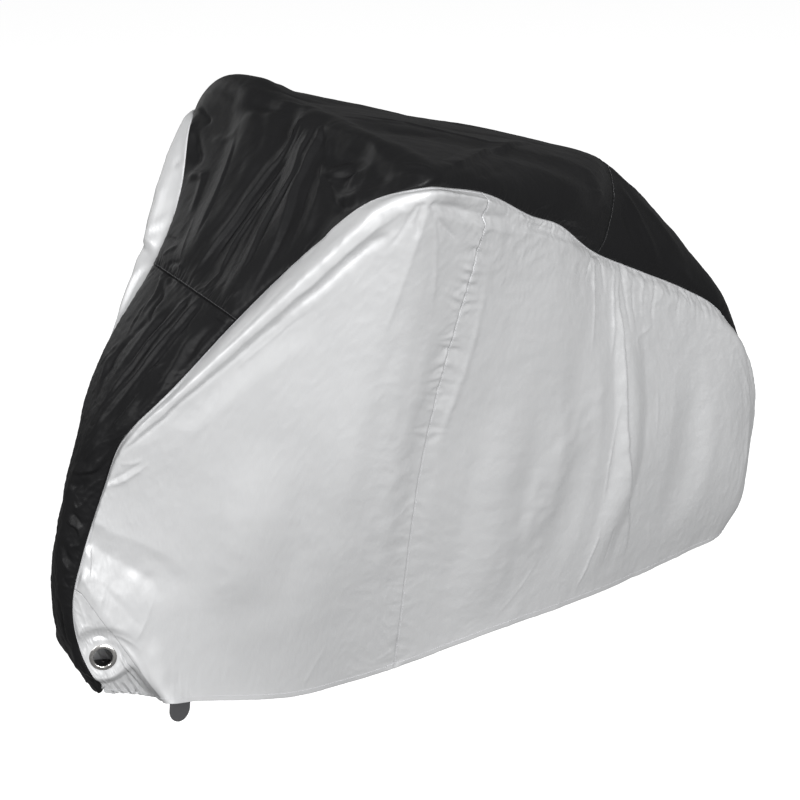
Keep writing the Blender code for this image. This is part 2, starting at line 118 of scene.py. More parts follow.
# station, x, distance from the middle plane, z
SEAM = (
    (0, -0.848, 0.045, 0.211),
    (5, -0.884, 0.045, 0.293),
    (11, -0.890, 0.040, 0.400),
    (15, -0.868, 0.041, 0.480),
    (20, -0.825, 0.050, 0.605),
    (23, -0.800, 0.062, 0.680),
    (25, -0.785, 0.085, 0.718),
    (28, -0.735, 0.119, 0.782),
    (33, -0.625, 0.152, 0.899),
    (38, -0.540, 0.214, 1.011),
    (42, -0.476, 0.297, 1.112),
    (46, -0.410, 0.366, 1.147),
    (49, -0.345, 0.345, 1.131),
    (52, -0.268, 0.320, 1.107),
    (58, -0.120, 0.262, 1.030),
    (64, -0.020, 0.225, 0.985),
    (70, 0.120, 0.165, 0.893),
    (75, 0.265, 0.135, 0.822),
    (79, 0.400, 0.115, 0.757),
    (84, 0.530, 0.100, 0.675),
    (88, 0.630, 0.070, 0.560),
    (92, 0.690, 0.052, 0.430),
    (96, 0.700, 0.047, 0.290),
    (100, 0.665, 0.045, 0.165),
)

# The rails below the seam on a side, written as the seam's: the line of tension close under it, where the
# cloth stops turning over, the line half way down, and the hem.
TENSION = (
    (0, -0.8475, 0.0455, 0.208),
    (6, -0.884, 0.049, 0.301),
    (9, -0.886, 0.050, 0.352),
    (12, -0.875, 0.051, 0.409),
    (20, -0.822, 0.066, 0.600),
    (25, -0.780, 0.104, 0.708),
    (28, -0.731, 0.147, 0.774),
    (33, -0.634, 0.210, 0.893),
    (38, -0.553, 0.280, 1.003),
    (42, -0.482, 0.342, 1.093),
    (46, -0.412, 0.380, 1.120),
    (50, -0.315, 0.350, 1.085),
    (56, -0.170, 0.290, 1.015),
    (64, -0.020, 0.240, 0.945),
    (72, 0.170, 0.172, 0.830),
    (80, 0.425, 0.138, 0.700),
    (86, 0.582, 0.130, 0.585),
    (91, 0.661, 0.108, 0.440),
    (96, 0.674, 0.084, 0.270),
    (100, 0.668, 0.056, 0.160),
)

HALF_WAY = (
    (0, -0.847, 0.046, 0.205),
    (3, -0.854, 0.052, 0.230),
    (6, -0.857, 0.058, 0.258),
    (9, -0.846, 0.067, 0.286),
    (12, -0.819, 0.078, 0.297),
    (20, -0.732, 0.108, 0.420),
    (30, -0.618, 0.174, 0.520),
    (40, -0.514, 0.246, 0.620),
    (46, -0.430, 0.288, 0.680),
    (52, -0.332, 0.282, 0.660),
    (60, -0.110, 0.252, 0.600),
    (70, 0.155, 0.202, 0.520),
    (80, 0.380, 0.166, 0.430),
    (88, 0.550, 0.150, 0.340),
    (94, 0.640, 0.125, 0.240),
    (100, 0.668, 0.070, 0.153),
)

HEM = (
    (0, -0.846, 0.047, 0.198),
    (4, -0.834, 0.050, 0.194),
    (8, -0.793, 0.055, 0.180),
    (10.5, -0.755, 0.064, 0.162),
    (12, -0.761, 0.105, 0.179),
    (16, -0.699, 0.110, 0.163),
    (22, -0.600, 0.118, 0.135),
    (30, -0.520, 0.130, 0.118),
    (40, -0.430, 0.150, 0.120),
    (52, -0.320, 0.180, 0.140),
    (62, -0.130, 0.210, 0.168),
    (72, 0.100, 0.190, 0.153),
    (82, 0.330, 0.145, 0.128),
    (90, 0.500, 0.120, 0.123),
    (95, 0.605, 0.105, 0.126),
    (100, 0.667, 0.050, 0.140),
)

# The far side isn't quite the near one: how far its line of tension is drawn back along x, and how much lower
# its seam and its line of tension lie.
# station, drawn back, lower
FAR_SIDE = (
    (0, 0.0, 0.0),
    (20, 0.0, 0.0),
    (22, 0.0, 0.0),
    (26, 0.016, 0.0),
    (29, 0.013, 0.0),
    (32, 0.003, 0.0),
    (35, 0.0, 0.0),
    (38, 0.002, 0.0),
    (42, 0.018, 0.006),
    (44, 0.022, 0.026),
    (46, 0.020, 0.046),
    (49, 0.0, 0.048),
    (52, 0.0, 0.040),
    (58, 0.0, 0.014),
    (64, 0.0, 0.0),
    (66, 0.0, 0.0),
    (100, 0.0, 0.0),
)

# Main folds, each a soft ridge (height above 0) or trough (below 0) along a line on the cloth. A fold of the
# sides comes once on each side, with its own height there, and dies away at both ends.
# cloth, station and place of one end, station and place of the other, half-width, near height, far height
FOLDS = (
    ("side", 39.0, 0.15, 24.5, 0.12, 0.045, -0.007, -0.007),
    ("side", 35.5, 0.36, 24.2, 0.70, 0.090, 0.008, 0.006),
    ("side", 16.5, 0.08, 18.5, 0.62, 0.050, 0.002, 0.009),
    ("side", 51.6, 0.18, 51.2, 0.86, 0.055, -0.006, -0.006),
    ("side", 44.0, 0.30, 39.8, 0.86, 0.080, 0.009, 0.004),
    ("side", 58.5, 0.34, 60.2, 1.0, 0.085, 0.010, 0.006),
    ("side", 66.0, 0.22, 67.7, 0.94, 0.065, -0.008, -0.005),
    ("side", 72.3, 0.08, 73.8, 0.98, 0.055, 0.013, 0.010),
    ("side", 80.5, 0.18, 83.6, 0.86, 0.075, -0.009, -0.006),
    ("strip", 44.6, -0.05, 34.5, -0.66, 0.050, 0.007, 0.0),
    ("strip", 44.6, 0.10, 34.5, -0.22, 0.050, -0.007, 0.0),
    ("strip", 44.4, 0.45, 34.5, 0.30, 0.050, 0.006, 0.0),
    ("strip", 44.2, -0.55, 39.0, -0.86, 0.045, -0.006, 0.0),
    ("strip", 49.0, -0.30, 64.0, -0.60, 0.060, -0.007, 0.0),
    ("strip", 49.5, 0.30, 64.0, 0.50, 0.060, -0.006, 0.0),
    ("strip", 31.0, 0.20, 24.0, -0.30, 0.040, 0.005, 0.0),
    ("strip", 46.0, 0.54, 45.4, 0.74, 0.095, 0.016, 0.0),
)

RIB_KNOTS = (0.0, 0.10, 0.50, 1.0)  # how far down a side rib each of its four rails lies
FOLD_STEPS = 9
RIB_STEPS = 241  # points on each rib of the strip, from spine to seam

# ---------------------------------------------------------------- curves and surfaces


def smooth_through(knots, points, at, slopes=None):
    """A smooth curve through the rows of points, at the values in at."""
    if slopes is None:
        slopes = np.gradient(points, knots, axis=0)
    i = np.clip(np.searchsorted(knots, at, side="right") - 1, 0, len(knots) - 2)
    width = (knots[i + 1] - knots[i])[:, None]
    u = (at - knots[i])[:, None] / width
    return (
        (2 * u**3 - 3 * u**2 + 1) * points[i]
        + (u**3 - 2 * u**2 + u) * width * slopes[i]
        + (3 * u**2 - 2 * u**3) * points[i + 1]
        + (u**3 - u**2) * width * slopes[i + 1]
    )


def lengths_along(line):
    """How far each point of a line lies from its first."""
    return np.concatenate([[0.0], np.cumsum(np.linalg.norm(np.diff(line, axis=0), axis=-1))])


def rail(table, stations):
    rows = np.asarray(table, float)
    return smooth_through(rows[:, 0], rows[:, 1:], np.asarray(stations, float))


def top_rails(stations, side):
    """The seam and the line of tension on one side, both with their distance from the middle plane."""
    seam, tension = rail(SEAM, stations), rail(TENSION, stations)
    if side > 0:
        drawn_back, lower = rail(FAR_SIDE, stations).T
        seam[:, 2] -= lower
        tension += np.stack([drawn_back, 0 * lower, -lower], axis=-1)
    return seam, tension


def strip_points(stations, across):
    """Black strip. across runs from -1, the near seam, over 0, the spine, to 1, the far seam, by length."""
    spine = rail(SPINE, stations)
    power = rail(SQUARENESS, stations)
    turn = np.linspace(0.0, pi / 2, RIB_STEPS)[None, :]
    out = np.sin(turn) ** (2 / power)
    rise = np.maximum(np.cos(turn), 0.0) ** (2 / power)
    rise[:, -1] = 0.0
    grid = np.empty((len(stations), len(across), 3))
    for side, half in ((-1, across < 0), (1, across >= 0)):
        seam, _ = top_rails(stations, side)
        rib = np.stack(
            [
                seam[:, :1] + (spine[:, :1] - seam[:, :1]) * rise,
                seam[:, 1:2] * out * side,
                seam[:, 2:] + (spine[:, 1:] - seam[:, 2:]) * rise,
            ],
            axis=-1,
        )
        for row, line in zip(grid, rib):
            length = lengths_along(line)
            for axis in range(3):
                row[half, axis] = np.interp(np.abs(across[half]) * length[-1], length, line[:, axis])
    return grid


def side_points(stations, down, side):
    """Silver side. down runs from 0, the seam, to 1, the hem; side is -1 for near and 1 for far."""
    knots = np.asarray(RIB_KNOTS)
    rails = np.stack([*top_rails(stations, side), rail(HALF_WAY, stations), rail(HEM, stations)])
    rails = rails.reshape(len(knots), -1)
    slopes = np.gradient(rails, knots, axis=0)
    # the cloth turns over between the seam and the line of tension, and runs straight down from there
    slopes[1] = (rails[2] - rails[1]) / (knots[2] - knots[1])
    flat = smooth_through(knots, rails, np.asarray(down, float), slopes)
    grid = flat.reshape(len(down), -1, 3).transpose(1, 0, 2).copy()
    grid[..., 1] *= side
    return grid


def unit(vectors):
    return vectors / np.linalg.norm(vectors, axis=-1, keepdims=True)


def outward(points_at, stations, other, sign):
    """Unit normals of the surface points_at(stations, other), by small steps along both directions."""
    step_s, step_o = 0.02, 0.002
    lo, hi = np.clip(stations - step_s, 0, LAST), np.clip(stations + step_s, 0, LAST)
    along = points_at(hi, other) - points_at(lo, other)
    across = points_at(stations, other + step_o) - points_at(stations, other - step_o)
    return unit(np.cross(along, across)) * sign


def strip_normals(stations, across):
    inside = np.clip(across, -0.99, 0.99)
    normals = outward(strip_points, stations, inside, 1)
    # on the spine the strip is level across
    middle = np.isclose(across, 0.0)
    normals[:, middle, 1] = 0.0
    return unit(normals)


def side_normals(stations, down, side):
    inside = np.clip(down, 0.004, 0.996)
    return outward(lambda s, d: side_points(s, d, side), stations, inside, side)


def seam_normals(stations, side):
    """Both cloths that meet at the seam take this normal there, so their edges face each other squarely."""
    strip_edge = strip_normals(stations, np.array([side]))[:, 0]
    side_edge = side_normals(stations, np.array([0.0]), side)[:, 0]
    return unit(strip_edge + side_edge)


def fold_lines():
    """Every fold as its line in space, half-width, height, and whether it dies away at its ends."""
    lines = []
    for cloth, station_a, place_a, station_b, place_b, half_width, near, far in FOLDS:
        stations = np.linspace(station_a, station_b, FOLD_STEPS)
        places = np.linspace(place_a, place_b, FOLD_STEPS)
        steps = np.arange(FOLD_STEPS)
        if cloth == "strip":
            lines.append((strip_points(stations, places)[steps, steps], half_width, near, False))
        else:
            for side, height in ((-1, near), (1, far)):
                line = side_points(stations, places, side)[steps, steps]
                lines.append((line, half_width, height, True))
    return lines


# ---------------------------------------------------------------- creases

# Each row is one crease of the cloth: its shape, its height and half-width in millimetres (two half-widths
# where it widens along its way), the end or ends at which it dies away, and the stations and places it runs
# through. Shapes: a soft fold, a sharp pressed edge, a facet with flat flanks, and a lap, which is steep on
# its left or its right as one walks along it.
NEAR_CREASES = (
    # the edge of the shoulder along the front half of the seam, the groove below it, and fine lines beside
    ("lap_left", 3.6, (9, 7), "both",
     (45.3, 0.095), (42.6, 0.105), (39.8, 0.11), (35.4, 0.11), (31.4, 0.105), (27.0, 0.095)),
    ("lap_left", 2.0, (7, 5), "both",
     (31.0, 0.105), (28.5, 0.10), (25.4, 0.095), (23.5, 0.065), (22.0, 0.02)),
    ("soft", -6.5, (9, 7), "both",
     (44.9, 0.112), (42.8, 0.124), (40.5, 0.127), (38.4, 0.127), (36.0, 0.125), (33.0, 0.122)),
    ("sharp", -3.2, 5, "both",
     (39.0, 0.128), (34.6, 0.126), (31.0, 0.118), (28.0, 0.108), (25.0, 0.105), (22.1, 0.045)),
    ("sharp", 1.2, 3, "both", (37.0, 0.147), (34.4, 0.146), (31.0, 0.142)),
    ("sharp", -1.0, 3, "both", (38.3, 0.158), (36.5, 0.152), (34.6, 0.150)),
    ("soft", -2.2, 16, "both", (44.0, 0.055), (38.0, 0.058), (34.0, 0.06), (29.0, 0.055), (25.0, 0.045)),
    ("sharp", -2.4, 3, "both", (37.4, 0.05), (35.0, 0.062), (32.7, 0.068), (30.5, 0.058)),
    ("sharp", -1.4, 3, "both", (30.0, 0.035), (28.3, 0.022), (26.4, 0.018)),
    # short creases that spring from the seam where it turns down
    ("sharp", 2.6, 5, "last", (19.9, 0.06), (21.4, 0.12), (23.1, 0.155), (24.8, 0.175)),
    ("sharp", -2.0, 4, "last", (20.2, 0.07), (22.3, 0.122), (24.1, 0.152)),
    ("sharp", 1.3, 4, "last", (22.4, 0.09), (23.4, 0.13), (24.5, 0.152)),
    ("sharp", 1.2, 5, "last", (20.9, 0.02), (22.4, 0.06), (24.6, 0.075)),
    ("sharp", -1.2, 4, "last", (22.4, 0.015), (24.4, 0.045), (27.0, 0.055)),
    # the bright facet over the front corner
    ("facet", -9.5, (19, 33), "last", (15.5, 0.0), (16.2, 0.15), (17.1, 0.27), (18.2, 0.42), (19.0, 0.60)),
    ("sharp", 1.2, 8, "both", (18.6, 0.46), (16.6, 0.49), (14.8, 0.51), (13.2, 0.525)),
    ("facet", 6.0, (10, 22), "last", (13.4, 0.0), (13.0, 0.16), (12.8, 0.30), (12.9, 0.44), (13.2, 0.60)),
    ("sharp", 2.6, 4, "both", (11.9, 0.37), (12.4, 0.41), (13.1, 0.48), (13.8, 0.60)),
    ("sharp", 2.4, 4, "both", (12.15, 0.38), (12.3, 0.56), (12.15, 0.75), (11.95, 0.97)),
    ("soft", 2.2, 20, "both", (15.0, 0.56), (14.6, 0.72), (14.2, 0.90)),
    # the hook below the pinch in the seam: a roll along it, a hollow under the roll, and lines out from it
    ("lap_right", 5.4, (7, 8), "both",
     (46.0, 0.065), (47.9, 0.066), (49.8, 0.052), (52.4, 0.045), (55.4, 0.042)),
    ("lap_right", 3.4, 7, "both",
     (53.6, 0.043), (57.0, 0.040), (61.0, 0.038), (64.5, 0.032), (67.8, 0.012)),
    ("soft", -9.0, (10, 11), "both",
     (45.6, 0.088), (47.4, 0.098), (49.3, 0.096), (51.4, 0.092), (54.5, 0.086), (58.4, 0.078)),
    ("soft", -6.5, 10, "both", (55.0, 0.076), (59.6, 0.068), (63.2, 0.062), (67.4, 0.030)),
    ("sharp", 2.2, 5, "both",
     (47.6, 0.118), (50.2, 0.112), (53.5, 0.108), (57.9, 0.094), (63.2, 0.084), (67.6, 0.050)),
    ("sharp", -4.0, 5, "last", (46.2, 0.09), (47.3, 0.12), (48.7, 0.135), (50.2, 0.146)),
    ("sharp", -3.4, 5, "last", (46.1, 0.095), (46.9, 0.12), (48.0, 0.155)),
    ("sharp", -1.8, 4, "last", (46.4, 0.095), (48.3, 0.102), (49.8, 0.102)),
    ("sharp", -3.4, 5, "last", (45.5, 0.09), (45.3, 0.12), (45.8, 0.155)),
    ("sharp", -3.0, 5, "last", (45.1, 0.09), (44.2, 0.13), (43.2, 0.15)),
    ("sharp", 2.2, (5, 12), "last", (46.0, 0.10), (45.2, 0.21), (44.2, 0.32)),
    ("sharp", 2.4, (5, 10), "last", (46.8, 0.11), (48.1, 0.20), (49.0, 0.28)),
    # over the join seam, which draws the cloth together in a zigzag
    ("sharp", 2.4, 5, "both", (50.8, 0.105), (51.6, 0.125), (52.9, 0.135)),
    ("sharp", -2.2, 4, "both", (51.2, 0.155), (52.0, 0.150), (53.2, 0.170)),
    ("sharp", 2.0, 4, "both", (50.9, 0.190), (51.8, 0.185), (52.8, 0.200)),
    ("sharp", 2.6, 5, "both", (50.9, 0.235), (52.0, 0.220), (53.8, 0.225)),
    ("sharp", -2.2, 4, "both", (51.0, 0.262), (52.2, 0.256), (53.4, 0.268)),
    ("sharp", 2.2, 5, "both", (50.6, 0.292), (52.0, 0.300), (53.2, 0.296)),
    ("sharp", -2.0, 4, "both", (51.2, 0.330), (52.2, 0.322), (54.0, 0.338)),
    ("sharp", 2.4, 5, "both", (51.0, 0.372), (52.0, 0.362), (53.4, 0.374)),
    ("sharp", -2.0, 4, "both", (50.8, 0.402), (52.2, 0.396), (53.2, 0.410)),
    ("sharp", 2.0, 5, "both", (51.0, 0.436), (52.2, 0.432), (53.6, 0.446)),
    ("soft", 2.0, 9, "both", (53.4, 0.13), (54.0, 0.24), (54.0, 0.36), (53.4, 0.46), (52.9, 0.56)),
    ("sharp", 1.2, 6, "last", (51.8, 0.98), (50.6, 0.90), (49.0, 0.86)),
    ("sharp", -2.6, 5, "last", (52.5, 1.0), (52.3, 0.96), (51.9, 0.91)),
    # by the rear cross seam: two narrow ridges, the edge behind which the side turns away, and its gathers
    ("sharp", -3.4, 4, "last", (69.9, 0.01), (69.0, 0.055), (68.0, 0.11), (67.0, 0.15)),
    ("sharp", 3.2, (3, 5), "both", (69.2, 0.04), (68.8, 0.12), (68.5, 0.20), (67.8, 0.30)),
    ("sharp", -3.0, 4, "last", (69.9, 0.03), (70.2, 0.09), (70.3, 0.15)),
    ("sharp", 3.4, (3, 5), "both", (72.0, 0.02), (71.4, 0.12), (71.0, 0.22), (70.2, 0.32)),
    ("lap_left", 6.5, (7, 13), "both",
     (72.5, 0.02), (71.9, 0.14), (71.8, 0.26), (71.6, 0.37), (72.1, 0.52), (73.8, 0.66)),
    ("lap_left", 4.5, (11, 15), "both",
     (71.8, 0.42), (72.4, 0.54), (74.2, 0.66), (76.8, 0.80), (78.2, 0.96)),
    ("sharp", -2.6, 4, "last", (72.7, 0.02), (72.7, 0.12), (73.1, 0.24)),
    ("sharp", 1.6, 3, "last", (73.3, 0.01), (73.2, 0.06), (73.3, 0.10)),
    ("sharp", -2.8, 3, "last", (74.0, 0.01), (73.6, 0.12), (73.8, 0.22)),
    ("sharp", 2.2, 3, "last", (74.8, 0.01), (74.6, 0.10), (74.4, 0.19)),
    ("sharp", -2.0, 3, "last", (75.4, 0.01), (75.3, 0.06), (75.3, 0.10)),
    ("sharp", -2.8, 3, "last", (76.1, 0.01), (75.6, 0.12), (75.6, 0.21)),
    ("sharp", 1.8, 3, "last", (76.9, 0.01), (76.5, 0.07), (76.3, 0.11)),
    ("sharp", -1.6, 3, "last", (77.6, 0.01), (77.4, 0.05), (77.4, 0.08)),
    ("sharp", -2.4, 3, "last", (78.5, 0.01), (78.0, 0.08), (77.9, 0.15)),
    ("sharp", 1.6, 3, "last", (79.2, 0.01), (78.9, 0.05), (78.6, 0.09)),
    ("sharp", -2.0, 3, "last", (80.8, 0.01), (79.9, 0.07), (80.2, 0.16)),
    ("sharp", 1.4, 3, "last", (82.2, 0.01), (81.8, 0.06), (81.9, 0.10)),
    ("sharp", -1.6, 3, "last", (83.8, 0.01), (83.2, 0.06), (83.2, 0.11)),
    ("sharp", 2.2, 3, "both", (75.8, 0.165), (74.9, 0.20), (73.7, 0.23), (74.2, 0.28)),
    ("sharp", 2.4, 4, "both", (71.5, 0.34), (70.8, 0.47), (70.7, 0.56), (71.1, 0.65), (71.5, 0.70)),
    ("sharp", 2.4, 4, "both", (71.8, 0.73), (72.3, 0.82), (72.4, 0.90), (72.0, 0.98)),
    ("sharp", 1.3, 5, "both", (76.3, 0.31), (76.5, 0.42), (76.8, 0.50)),
    ("sharp", -1.2, 6, "both", (73.8, 0.74), (75.0, 0.92)),
    ("sharp", 1.1, 5, "both", (79.6, 0.76), (80.6, 0.82), (81.9, 0.88)),
    ("sharp", -2.2, 5, "both", (85.4, 0.08), (87.0, 0.10), (88.6, 0.12), (89.8, 0.145)),
    ("sharp", 2.0, 5, "both", (85.0, 0.13), (87.4, 0.16), (89.6, 0.20)),
    ("soft", 2.6, 24, "both", (80.3, 0.12), (83.4, 0.39), (88.3, 0.80)),
    ("soft", 2.0, 16, "both", (86.8, 0.08), (90.6, 0.30), (92.4, 0.55)),
    ("sharp", 1.2, 7, "both", (89.0, 0.18), (91.6, 0.42), (93.2, 0.75)),
    # wide, shallow swells
    ("soft", 3.0, 38, "both", (33.0, 0.30), (26.9, 0.53), (22.0, 0.79)),
    ("soft", -2.8, 36, "both", (39.6, 0.38), (37.0, 0.58), (33.0, 0.78)),
    ("soft", 6.0, 50, "both", (50.0, 0.20), (49.6, 0.45), (48.5, 0.65), (47.4, 0.88)),
    ("soft", -3.4, 26, "both", (45.8, 0.14), (45.4, 0.32), (45.0, 0.50), (44.5, 0.72)),
    ("soft", 8.0, 62, "both", (72.0, 0.22), (67.5, 0.42), (64.5, 0.58), (62.5, 0.78), (61.0, 0.98)),
    ("sharp", 0.7, 4, "both", (24.4, 0.21), (24.0, 0.28)),
    ("sharp", 1.0, 6, "both", (32.6, 0.99), (36.0, 0.93), (39.2, 0.87)),
    ("sharp", 0.9, 6, "both", (62.0, 0.98), (64.5, 0.90), (66.0, 0.78)),
)

# the crinkles of the corner flap, between its fold and its gathered hem
FLAP_CREASES = (
    ("sharp", -4.8, 3, "both", (11.6, 0.42), (10.9, 0.66), (10.5, 0.98)),
    ("sharp", 3.7, 3, "both", (11.2, 0.44), (10.3, 0.70), (9.9, 0.98)),
    ("sharp", -4.4, 3, "both", (10.7, 0.50), (9.9, 0.74), (9.4, 1.0)),
    ("sharp", 4.1, 3, "last", (8.9, 1.0), (9.3, 0.82), (10.0, 0.64)),
    ("sharp", -4.1, 3, "last", (8.4, 1.0), (8.8, 0.86), (9.2, 0.76)),
    ("sharp", 3.4, 3, "last", (7.9, 1.0), (8.1, 0.88), (8.4, 0.80)),
    ("sharp", -3.1, 3, "last", (7.3, 1.0), (7.4, 0.88), (7.7, 0.80)),
    ("sharp", 2.7, 3, "last", (6.6, 1.0), (6.7, 0.88), (7.0, 0.78)),
    ("sharp", -2.7, 3, "last", (5.8, 1.0), (6.0, 0.84), (6.4, 0.74)),
    ("sharp", 2.0, 3, "last", (4.9, 1.0), (5.2, 0.84), (5.6, 0.70)),
    ("sharp", 2.7, 4, "both", (6.0, 0.14), (7.6, 0.10), (9.4, 0.16), (10.8, 0.26)),
    ("sharp", -3.1, 4, "both", (8.8, 0.30), (10.2, 0.34), (11.4, 0.42)),
    ("soft", -2.4, 6, "both", (5.0, 0.30), (6.2, 0.20), (8.2, 0.17)),
)

FAR_CREASES = (
    # the shoulder's edge and groove, and the bright and dark triangles beside the front crest
    ("lap_right", 2.8, (9, 7), "both",
     (45.3, 0.09), (42.0, 0.10), (38.6, 0.10), (34.8, 0.11), (30.0, 0.10), (25.4, 0.09)),
    ("soft", -3.4, (8, 6), "both",
     (44.0, 0.115), (40.0, 0.125), (34.0, 0.130), (28.0, 0.115), (23.5, 0.07)),
    ("facet", -8.0, 10, "both", (35.4, 0.11), (33.8, 0.085), (33.3, 0.05), (33.2, 0.012)),
    ("facet", 7.0, 8, "both", (33.6, 0.09), (34.0, 0.05), (34.5, 0.012)),
    ("facet", 5.0, 7, "both", (33.7, 0.08), (35.0, 0.045), (36.3, 0.012)),
    ("facet", 4.4, 7, "both", (38.4, 0.05), (36.9, 0.06), (35.2, 0.06), (34.2, 0.055)),
    ("sharp", -4.0, 5, "last", (39.7, 0.01), (39.2, 0.03), (38.7, 0.05)),
    ("sharp", 1.8, 4, "last", (39.2, 0.012), (38.7, 0.045), (37.3, 0.05)),
    ("facet", 4.4, 6, "both", (33.0, 0.03), (31.6, 0.055), (30.2, 0.065), (28.4, 0.06)),
    ("facet", -4.0, 5, "both", (32.6, 0.012), (32.0, 0.035), (30.4, 0.04), (28.0, 0.03)),
    # short creases that spring from the seam where it turns down, and the facet over the front corner
    ("sharp", 2.2, 5, "last", (20.2, 0.03), (22.6, 0.10), (25.0, 0.13)),
    ("sharp", 1.4, 5, "last", (22.0, 0.02), (24.4, 0.06), (27.4, 0.07)),
    ("sharp", -3.4, (7, 20), "last", (15.6, 0.03), (16.2, 0.20), (17.4, 0.36), (18.4, 0.56)),
    ("soft", 3.2, (10, 22), "both", (14.4, 0.04), (14.6, 0.26), (15.2, 0.44)),
    ("sharp", 2.0, 5, "both", (12.15, 0.10), (12.05, 0.36), (12.1, 0.66), (12.0, 0.95)),
    # the hollow under the seam behind the crest
    ("lap_left", 4.2, 8, "both",
     (46.0, 0.065), (49.8, 0.050), (53.4, 0.044), (58.6, 0.040), (64.0, 0.034), (67.8, 0.012)),
    ("soft", -4.0, 8, "both", (46.0, 0.085), (49.5, 0.090), (53.5, 0.082), (59.6, 0.070), (67.4, 0.030)),
    ("sharp", 2.0, 5, "both", (47.8, 0.115), (53.0, 0.112), (60.0, 0.090), (67.6, 0.055)),
    ("sharp", -2.0, 4, "last", (46.2, 0.09), (47.3, 0.12), (49.6, 0.145)),
    ("sharp", 1.5, 6, "last", (46.4, 0.10), (47.6, 0.19), (49.4, 0.30)),
    ("sharp", 1.4, 6, "last", (45.8, 0.10), (44.2, 0.18), (42.0, 0.28)),
    # over the join seam
    ("sharp", 1.8, 6, "both", (50.4, 0.17), (52.0, 0.16), (54.0, 0.18)),
    ("sharp", -1.6, 5, "both", (50.6, 0.24), (52.2, 0.25), (53.8, 0.25)),
    ("sharp", 1.6, 6, "both", (50.4, 0.34), (52.2, 0.37), (54.0, 0.40)),
    ("sharp", -2.4, 5, "last", (51.8, 1.0), (51.6, 0.95), (52.2, 0.90)),
    # by the rear cross seam
    ("sharp", -2.8, 4, "last", (69.9, 0.01), (69.2, 0.07), (68.4, 0.13)),
    ("sharp", 3.2, (4, 6), "both", (68.9, 0.05), (68.4, 0.16), (67.4, 0.30)),
    ("lap_right", 3.8, (7, 13), "both", (72.6, 0.03), (72.0, 0.16), (71.8, 0.33), (72.6, 0.52)),
    ("soft", 2.4, 16, "both", (72.4, 0.44), (73.6, 0.60), (76.0, 0.84)),
    ("sharp", -2.4, 4, "last", (73.8, 0.02), (73.5, 0.11), (73.6, 0.18)),
    ("sharp", 2.4, 4, "last", (74.9, 0.02), (74.6, 0.10), (74.4, 0.15)),
    ("sharp", -2.4, 4, "last", (76.2, 0.02), (75.8, 0.10), (75.9, 0.17)),
    ("sharp", 2.0, 4, "last", (77.6, 0.02), (77.2, 0.08), (77.0, 0.13)),
    ("sharp", -1.8, 4, "last", (79.4, 0.02), (79.0, 0.09), (79.2, 0.12)),
    # wide, shallow swells
    ("soft", 2.8, 34, "both", (34.0, 0.26), (28.0, 0.50), (24.0, 0.82)),
    ("soft", -2.8, 34, "both", (43.0, 0.36), (41.0, 0.60), (36.0, 0.84)),
    ("soft", 2.8, 32, "both", (59.0, 0.40), (60.5, 0.68), (61.0, 0.96)),
    ("soft", 2.4, 24, "both", (81.5, 0.12), (84.0, 0.42), (88.0, 0.82)),
    ("sharp", 1.0, 6, "both", (64.6, 0.60), (66.4, 0.76), (69.6, 0.90)),
)

